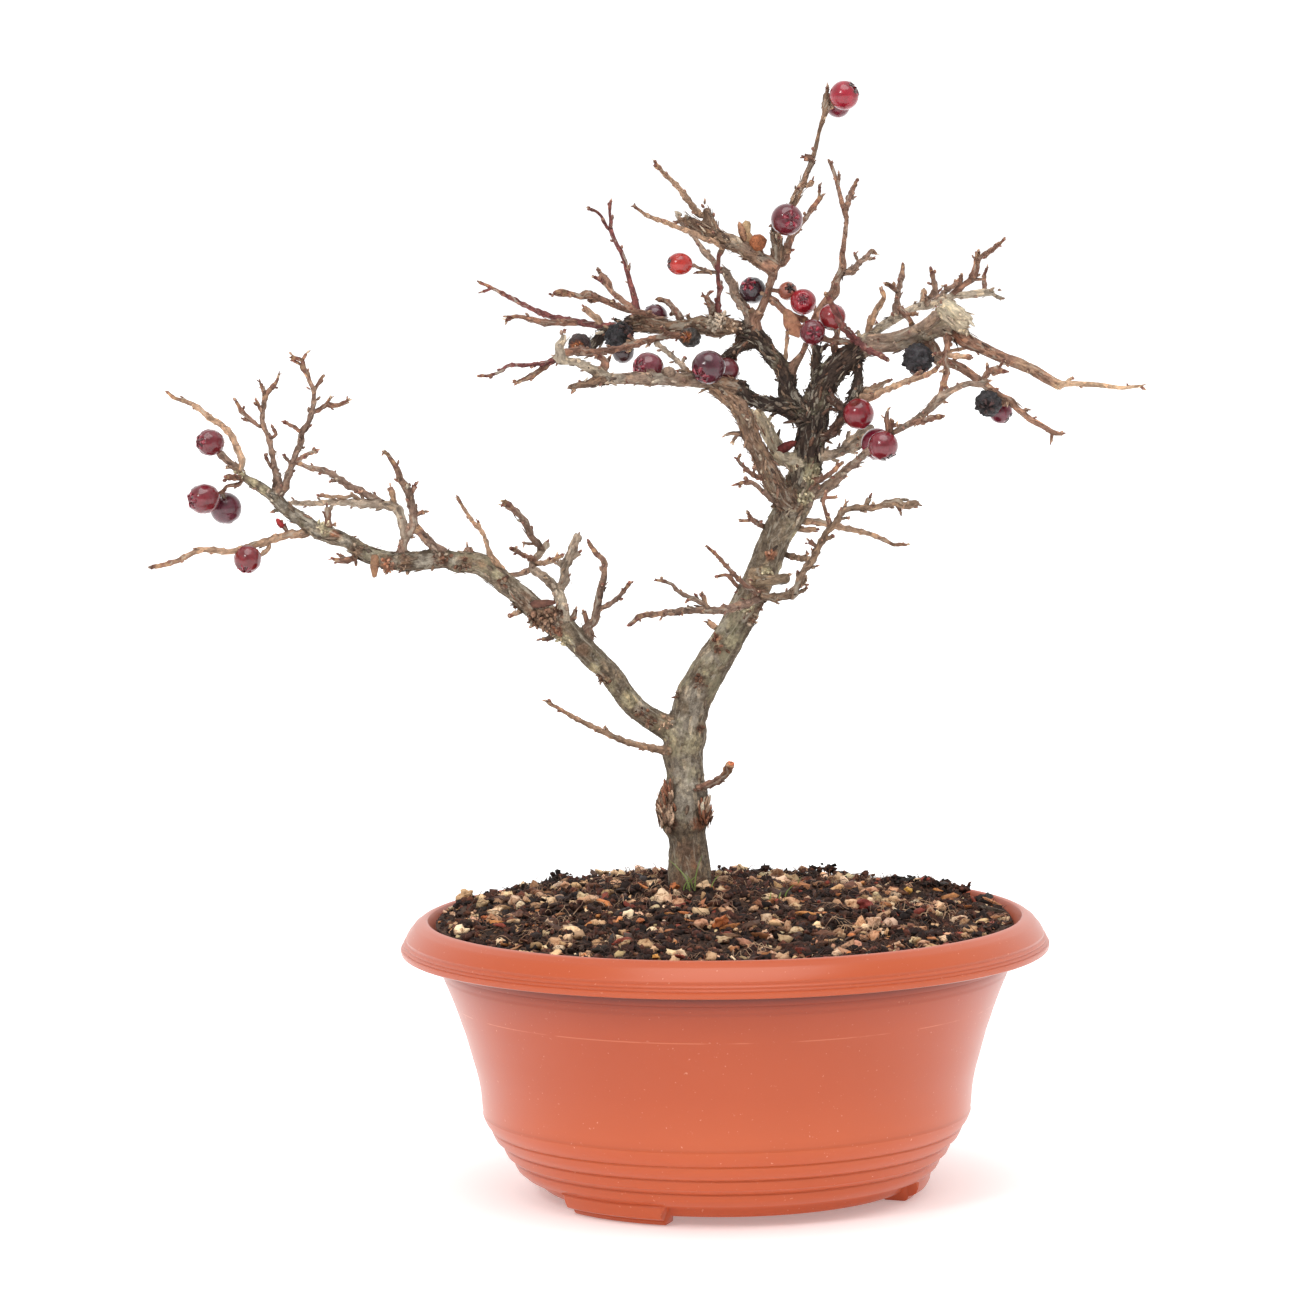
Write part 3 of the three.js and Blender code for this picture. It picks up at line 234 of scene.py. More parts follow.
new_piece("pot_moulding", pot_mesh, ["pot"], terracotta)

# Soil: moist peat and fine bark filling the pot to just under its rim and mounded round the trunk.
# The body is one solid disc with a crumbled top; crumbs, chips, grains and fibres lie pressed into it.
# LAYOUT is how far back the upright plane stands on which the tree is traced, as the eye sees it.
TRUNK = (-11, 18)
EYE = Vector((-23, -1800, 355))
LAYOUT = 18
POT_INSIDE = 93


def from_trunk(x, y):
    return math.hypot(x - TRUNK[0], y - TRUNK[1])


def soil_height(x, y):
    """The soil's surface without its crumbs: a mound round the trunk, soft waves and a heap on the right."""
    mound = 7.2 * max(0, 1 - (from_trunk(x, y) / 95) ** 1.6)
    ends = -0.8 * (abs(x) / 92) ** 3
    waves = 0.9 * math.sin(x * 0.11 + 1) * math.cos(y * 0.13) + 0.5 * math.sin(x * 0.31) * math.sin(y * 0.27 + 2)
    heap = 2.6 * math.exp(-(((x - 68) / 17) ** 2) - ((y - 50) / 14) ** 2)
    foot = 2 * math.exp(-((x - TRUNK[0]) ** 2 + (y - TRUNK[1]) ** 2) / 500)
    return 88.2 + mound + ends + waves + heap + foot


def crumble(x, y):
    """How far loose crumbs and hollows lift the surface at a spot."""
    spot = Vector((x, y, 0))
    grains = abs(noise.noise(spot * 0.7)) + 0.6 * abs(noise.noise(spot * 1.6))
    return 1.5 * noise.fractal(spot * 0.22, 0.9, 2.1, 4) + 1.5 * grains


SOIL_SIDE = [(0.2, 7), (58, 7), (63, 9), (73.5, 26), (76, 36), (80.5, 52), (85, 64.5), (89.5, 78), (92.4, 85.4)]
FLAT_TOP = 0.086
profile = [(radius * MM, height * MM) for radius, height in SOIL_SIDE]
profile += [(max(93.2 - 0.72 * step, 0.2) * MM, FLAT_TOP) for step in range(129)]
shape = turned(profile, 330)
for vert in shape.verts:
    if vert.co.z > FLAT_TOP - 0.0005:
        x, y = vert.co.x / MM, vert.co.y / MM
        edge = min(1, (93.6 - math.hypot(x, y)) / 4)
        vert.co.z = (soil_height(x, y) + (crumble(x, y) - 0.9) * edge) * MM
soil_mesh = closed(shape, "peat")

peat, tree, shader = nodes_of("peat", 0.9, Specular_IOR_Level=0.3)
tone = ramp(tree, [
    (0.30, (0.014, 0.008, 0.006)), (0.48, (0.045, 0.024, 0.016)), (0.60, (0.11, 0.055, 0.034)),
    (0.72, (0.30, 0.17, 0.10)),
], cloud(tree, 520, 8, Roughness=0.7))
join(tree, tone, shader, "Base Color")
bump(tree, shader, cloud(tree, 1100, 5, Roughness=0.75), 0.9, 0.0012)
new_piece("peat", soil_mesh, ["soil"], peat)


# Crumbs, bark chips and grains: hundreds of small lumps shaken over the soil and pressed a third deep.
# Each kind is one piece; every lump is a small rounded solid, squashed, turned and tinted by seeded draws.
def on_soil(x, z):
    """Where the soil is met along the line of sight through x, z; just above the soil, its far edge."""
    start = Vector((x, LAYOUT, z)) - EYE
    nearest, least = EYE + start, 99
    for step in range(400):
        spot = EYE + start * (0.94 + 0.0003 * step)
        if math.hypot(spot.x, spot.y) < POT_INSIDE - 3:
            over = spot.z - soil_height(spot.x, spot.y)
            if over < 0.6:
                return spot
            if over < least:
                nearest, least = spot, over
    return nearest - Vector((0, 0, max(0, least - 1.6)))


def tinted(mesh, tints):
    layer = mesh.attributes.new("tint", "FLOAT_COLOR", "POINT")
    layer.data.foreach_set("color", [channel for tint in tints for channel in (*tint, 1)])


def room(parts):
    """The part being filled, of a piece of many small lumps; a full one is left, as small parts are quick to edit."""
    if not parts or len(parts[-1].verts) > 900:
        parts.append(bmesh.new())
        parts[-1].verts.layers.float_color.new("tint")
    return parts[-1], parts[-1].verts.layers.float_color["tint"]


def gathered(parts, name):
    whole = bmesh.new()
    for part in parts:
        mesh = bpy.data.meshes.new("part")
        part.to_mesh(mesh)
        part.free()
        whole.from_mesh(mesh)
        bpy.data.meshes.remove(mesh)
    return mesh_from(whole, name)


def jolt(draw, *spreads):
    """A random vector, each part drawn about zero with its own spread."""
    return Vector([draw.gauss(0, spread) for spread in spreads])


def scatter(draw, parts, spot, sizes, colour, detail, rough, lift, cuts=0):
    """One lump: a small ball made rough, broken flat in places, squashed and turned, and set on its spot."""
    long, wide, thick = sizes
    shape, layer = room(parts)
    made = bmesh.ops.create_icosphere(shape, subdivisions=detail, radius=1)["verts"]
    seed = Vector((draw.random() * 90, draw.random() * 90, draw.random() * 90))
    turn = Matrix.Rotation(draw.random() * math.tau, 3, "Z")
    turn = turn @ Matrix.Rotation(draw.gauss(0, 0.35), 3, "X") @ Matrix.Rotation(draw.gauss(0, 0.3), 3, "Y")
    x, y, z = spot
    broken = [(jolt(draw, 1, 1, 1).normalized(), draw.uniform(0.35, 0.8)) for _ in range(cuts)]
    for vert in made:
        push = 1 + rough * noise.noise(vert.co * 1.3 + seed) * 1.6 + rough * 0.5 * noise.noise(vert.co * 3.7 + seed)
        co = vert.co.copy()
        for outward, reach in broken:
            co -= outward * max(0, co.dot(outward) - reach)
        co = turn @ Vector((co.x * long * push, co.y * wide * push, co.z * thick * push))
        vert.co = at(x + co.x, y + co.y, z + co.z + lift * thick)
        vert[layer] = (*colour, 1)


def anywhere(draw, margin):
    """A random spot on the soil, at least a margin from the pot's wall."""
    turn = draw.random() * math.tau
    out = math.sqrt(draw.random()) * (POT_INSIDE - margin)
    x, y = out * math.cos(turn), out * math.sin(turn)
    return x, y, soil_height(x, y)


def shade(draw, colour, spread):
    """A colour made a little lighter or darker by chance."""
    light = 1 + draw.uniform(-spread, spread)
    return tuple(max(0.002, channel * light * (1 + draw.uniform(-0.08, 0.08))) for channel in colour)


def lumps(name, seed, count, sizes, colours, detail, rough, lift, chosen=()):
    """Lumps of least and most size, with ranges of width and thickness; chosen ones stand where they are seen."""
    draw = random.Random(seed)
    parts = []
    least, most, widths, depths = sizes
    for x, z, long, wide, colour in chosen:
        spot = on_soil(x, z)
        scatter(draw, parts, spot, (long, wide, min(long, wide) * 0.8), shade(draw, colour, 0.1), 3, rough, lift, 5)
    for _ in range(count):
        size = least + (most - least) * draw.random() ** 1.9
        wide, thick = size * draw.uniform(*widths), size * draw.uniform(*depths)
        spot = anywhere(draw, size)
        if from_trunk(spot[0], spot[1]) > 8 + size * 0.5:
            colour = shade(draw, draw.choice(colours), 0.35)
            scatter(draw, parts, spot, (size, wide, thick), colour, detail, rough, lift, 2 * detail)
    return gathered(parts, name)


def tinted_finish(name, roughness, spots, scale, detail, strength, depth, **sockets):
    """A matt finish in each point's own tint, mottled by noise that also roughens it."""
    material, tree, shader = nodes_of(name, roughness, **sockets)
    fine = cloud(tree, scale, detail, Roughness=0.7)
    join(tree, times(tree, layer_of(tree, "tint"), ramp(tree, spots, fine)), shader, "Base Color")
    bump(tree, shader, fine, strength, depth)
    return material


def lump_finish(name, roughness, spots, scale, strength):
    return tinted_finish(name, roughness, spots, scale, 6, strength, 0.0008, Specular_IOR_Level=0.35)


DARK = [
    (0.026, 0.013, 0.009), (0.042, 0.021, 0.014), (0.075, 0.036, 0.023), (0.014, 0.009, 0.007), (0.12, 0.056, 0.034),
    (0.020, 0.011, 0.009),
]
CHIP = [
    (0.09, 0.038, 0.022), (0.15, 0.062, 0.034), (0.24, 0.10, 0.052), (0.38, 0.15, 0.06), (0.48, 0.24, 0.13),
    (0.30, 0.055, 0.030), (0.055, 0.028, 0.018), (0.035, 0.020, 0.014), (0.58, 0.22, 0.07),
]
STONE = (0.72, 0.48, 0.29)
CREAM = (0.80, 0.58, 0.38)
PALE = (0.86, 0.67, 0.46)
PUMICE = [STONE, CREAM, (0.60, 0.38, 0.22), PALE, (0.50, 0.30, 0.17)]
RUSSET = (0.52, 0.16, 0.055)
AMBER = (0.75, 0.38, 0.08)

crumb_mesh = lumps("crumbs", 11, 5200, (0.5, 2.1, (0.6, 1), (0.5, 1)), DARK, 1, 0.9, 0.2)
crumb_finish = lump_finish("crumbs", 0.85, [(0.34, (0.20, 0.165, 0.155)), (0.66, (1.9, 1.38, 1.26))], 900, 0.9)
new_piece("crumbs", crumb_mesh, (), crumb_finish)

# Clods: small heaps of crumbs that stand up from the soil, some of them seen against the light at its far edge
draw = random.Random(14)
parts = []
heaps = [(on_soil(x, z), reach) for x, z, reach in [
    (-53.6, 99.6, 3.2), (-50, 99, 2.6), (-24.6, 100.3, 2.4), (-28, 99.5, 2.2), (-20, 100.5, 2.2), (13.6, 102.7, 2.2),
    (3, 101.5, 2), (34.4, 101.5, 2.8), (30, 101.5, 2.4), (38, 99.5, 2), (-32, 99.5, 1.8), (55, 97.5, 2.6),
    (60, 97, 2.6), (66, 96.2, 2.8), (72.2, 95.4, 3), (78, 94.4, 2.8), (84, 93.4, 2.8), (-64, 96.5, 2),
    (-70, 95.5, 1.8), (46, 99, 2),
]]
heaps += [(Vector(anywhere(draw, 4)), draw.uniform(1.6, 3.4)) for _ in range(60)]
for spot, reach in heaps:
    if from_trunk(spot.x, spot.y) < 11 + reach:
        continue
    for _ in range(int(reach * 8)):
        off = Vector((draw.gauss(0, 0.42), draw.gauss(0, 0.42), abs(draw.gauss(0, 0.3)))) * reach
        size = draw.uniform(0.35, 0.95)
        scatter(draw, parts, spot + off, (size * 1.4, size, size), shade(draw, draw.choice(DARK), 0.3), 1, 0.9, 0)
clod_mesh = gathered(parts, "clods")
new_piece("clods", clod_mesh, (), crumb_finish)

# Chips and grains, the large ones each where it is seen: x z, length, width, colour
chip_mesh = lumps("bark_chips", 12, 900, (0.9, 4.2, (0.28, 0.6), (0.14, 0.38)), CHIP, 2, 0.4, 0.5, [
    (-1.3, 83.8, 4.4, 2.4, RUSSET), (46.4, 88.8, 2.2, 3, (0.24, 0.03, 0.02)),
    (-42.1, 103.8, 3.4, 1, (0.10, 0.05, 0.03)), (-77.6, 86.1, 1.6, 1.5, RUSSET), (-27.4, 85.2, 1.7, 1.2, RUSSET),
    (-16.5, 95.6, 2.3, 1.3, RUSSET), (60.4, 93.6, 1.5, 1.7, AMBER), (-22.3, 73.2, 1.7, 1.3, AMBER),
    (-16, 96.5, 1.5, 1.3, RUSSET), (87.4, 87.5, 4.2, 1.2, (0.09, 0.07, 0.055)),
    (26, 102.6, 3.8, 1.5, (0.36, 0.19, 0.10)), (32, 96, 3, 1.4, (0.28, 0.12, 0.06)),
    (58.5, 96.9, 4.5, 1.6, (0.02, 0.014, 0.012)),
    (72.2, 95.4, 5, 1.6, (0.024, 0.015, 0.012)), (85.2, 93.2, 3.6, 1.9, (0.024, 0.015, 0.012)),
    (87, 90.5, 4, 0.7, (0.5, 0.22, 0.10)),
])
chip_finish = lump_finish("bark_chips", 0.6, [(0.3, (0.45, 0.42, 0.4)), (0.7, (1.4, 1.35, 1.3))], 700, 0.7)
new_piece("bark_chips", chip_mesh, (), chip_finish)
grain_mesh = lumps("pumice", 13, 640, (0.7, 3.0, (0.65, 0.95), (0.5, 0.85)), PUMICE, 2, 0.5, 0.3, [
    (-20.4, 92.3, 3.7, 2.7, PALE), (-6.4, 96.4, 3, 1.9, CREAM), (-74.5, 88.2, 3, 2.2, CREAM),
    (-84, 94.4, 2.8, 2.3, STONE), (-64.1, 93.2, 2.4, 1.8, CREAM), (-39.5, 102.4, 2.6, 1.8, CREAM),
    (43.8, 94.8, 3.4, 2, PALE), (41.8, 88.9, 2.6, 2.2, CREAM), (6.1, 101.8, 2.1, 1.9, CREAM),
    (48.3, 83.6, 2.8, 2.4, CREAM), (83.8, 83.4, 3.4, 1.6, STONE), (23.5, 81.2, 2.6, 1.5, CREAM),
    (-51, 97, 2, 1.6, STONE), (-45.8, 93.3, 2.2, 2.4, CREAM), (-14.5, 73.5, 3.4, 2, PALE),
    (17, 99, 2.4, 2, STONE), (-58, 84.5, 2, 2.2, PALE),
])
grain_finish = lump_finish("pumice", 0.85, [
    (0.30, (0.14, 0.08, 0.05)), (0.40, (0.6, 0.44, 0.34)), (0.5, (1, 0.93, 0.87)), (0.7, (1.12, 1.05, 0.97)),
], 480, 1.0)
new_piece("pumice", grain_mesh, (), grain_finish)


# Fibres and sprouts: dry rootlets lying on the soil, and a few thin green blades at the trunk's foot.
# Each is a thin bent strand with both ends closed, tapering to its tip, laid along the surface.
def strands(name, lines, sides):
    """The mesh of round strands; each line is a list of points in metres, each with its radius in millimetres."""
    curve = bpy.data.curves.new(name, "CURVE")
    curve.dimensions = "3D"
    curve.bevel_depth = MM
    curve.bevel_resolution = sides
    curve.use_fill_caps = True
    for points in lines:
        spline = curve.splines.new("POLY")
        spline.points.add(len(points) - 1)
        for point, (spot, radius) in zip(spline.points, points):
            point.co = (*spot, 1)
            point.radius = radius
    holder = bpy.data.objects.new(name, curve)
    mesh = bpy.data.meshes.new_from_object(holder)
    bpy.data.objects.remove(holder)
    bpy.data.curves.remove(curve)
    shade_smooth(mesh)
    return mesh


def fibre(draw, start, length, radius, rise):
    """The line of one rootlet that wanders over the soil, or nothing where it leaves the pot too soon."""
    turn = draw.random() * math.tau
    x, y, _ = start
    points = []
    steps = 9
    for step in range(steps):
        turn += draw.gauss(0, 0.35)
        x += math.cos(turn) * length / steps
        y += math.sin(turn) * length / steps
        if math.hypot(x, y) > POT_INSIDE - 1:
            break
        part = step / (steps - 1)
        lift = 1.0 + rise * math.sin(part * math.pi) + 0.5 * noise.noise(Vector((x, y, length)))
        points.append((at(x, y, soil_height(x, y) + lift), radius * (1 - 0.6 * part)))
    return points if len(points) > 3 else None


draw = random.Random(21)
fibres = [fibre(draw, anywhere(draw, 6), draw.uniform(5, 22), draw.uniform(0.08, 0.18), draw.uniform(0, 2.2))
          for _ in range(210)]
fibres += [fibre(draw, anywhere(draw, 3), draw.uniform(2, 7), draw.uniform(0.06, 0.14), draw.uniform(0.5, 2.6))
           for _ in range(900)]
root_finish, tree, shader = nodes_of("rootlets", 0.7)
tone = ramp(tree, [(0.42, (0.045, 0.021, 0.013)), (0.55, (0.14, 0.064, 0.036)), (0.66, (0.54, 0.34, 0.20))],
            cloud(tree, 60, 2))
join(tree, tone, shader, "Base Color")
new_piece("rootlets", strands("rootlets", [line for line in fibres if line], 1), (), root_finish)

draw = random.Random(22)
blades = []
for x, z, tall in [(-12, 96, 5), (-11, 95.6, 10), (-10, 96, 6), (-9.4, 95.8, 12), (-13, 96, 4), (20, 93, 4.5),
                   (15, 91, 4), (18, 92, 3), (24, 96, 4), (-4, 96, 5)]:
    foot = on_soil(x, z)
    lean = Vector((draw.uniform(-0.7, 0.7), draw.uniform(-0.5, 0.3), 0))
    blades.append([(at(*(foot + lean * tall * part ** 2 + Vector((0, 0, tall * part - 0.6)))),
                    0.2 * (1 - part) ** 0.5 + 0.05) for part in (0, 0.2, 0.4, 0.6, 0.8, 1)])
green = nodes_of("green_blades", 0.5, (0.22, 0.30, 0.07))[0]
new_piece("green_blades", strands("green_blades", blades, 1), (), green)

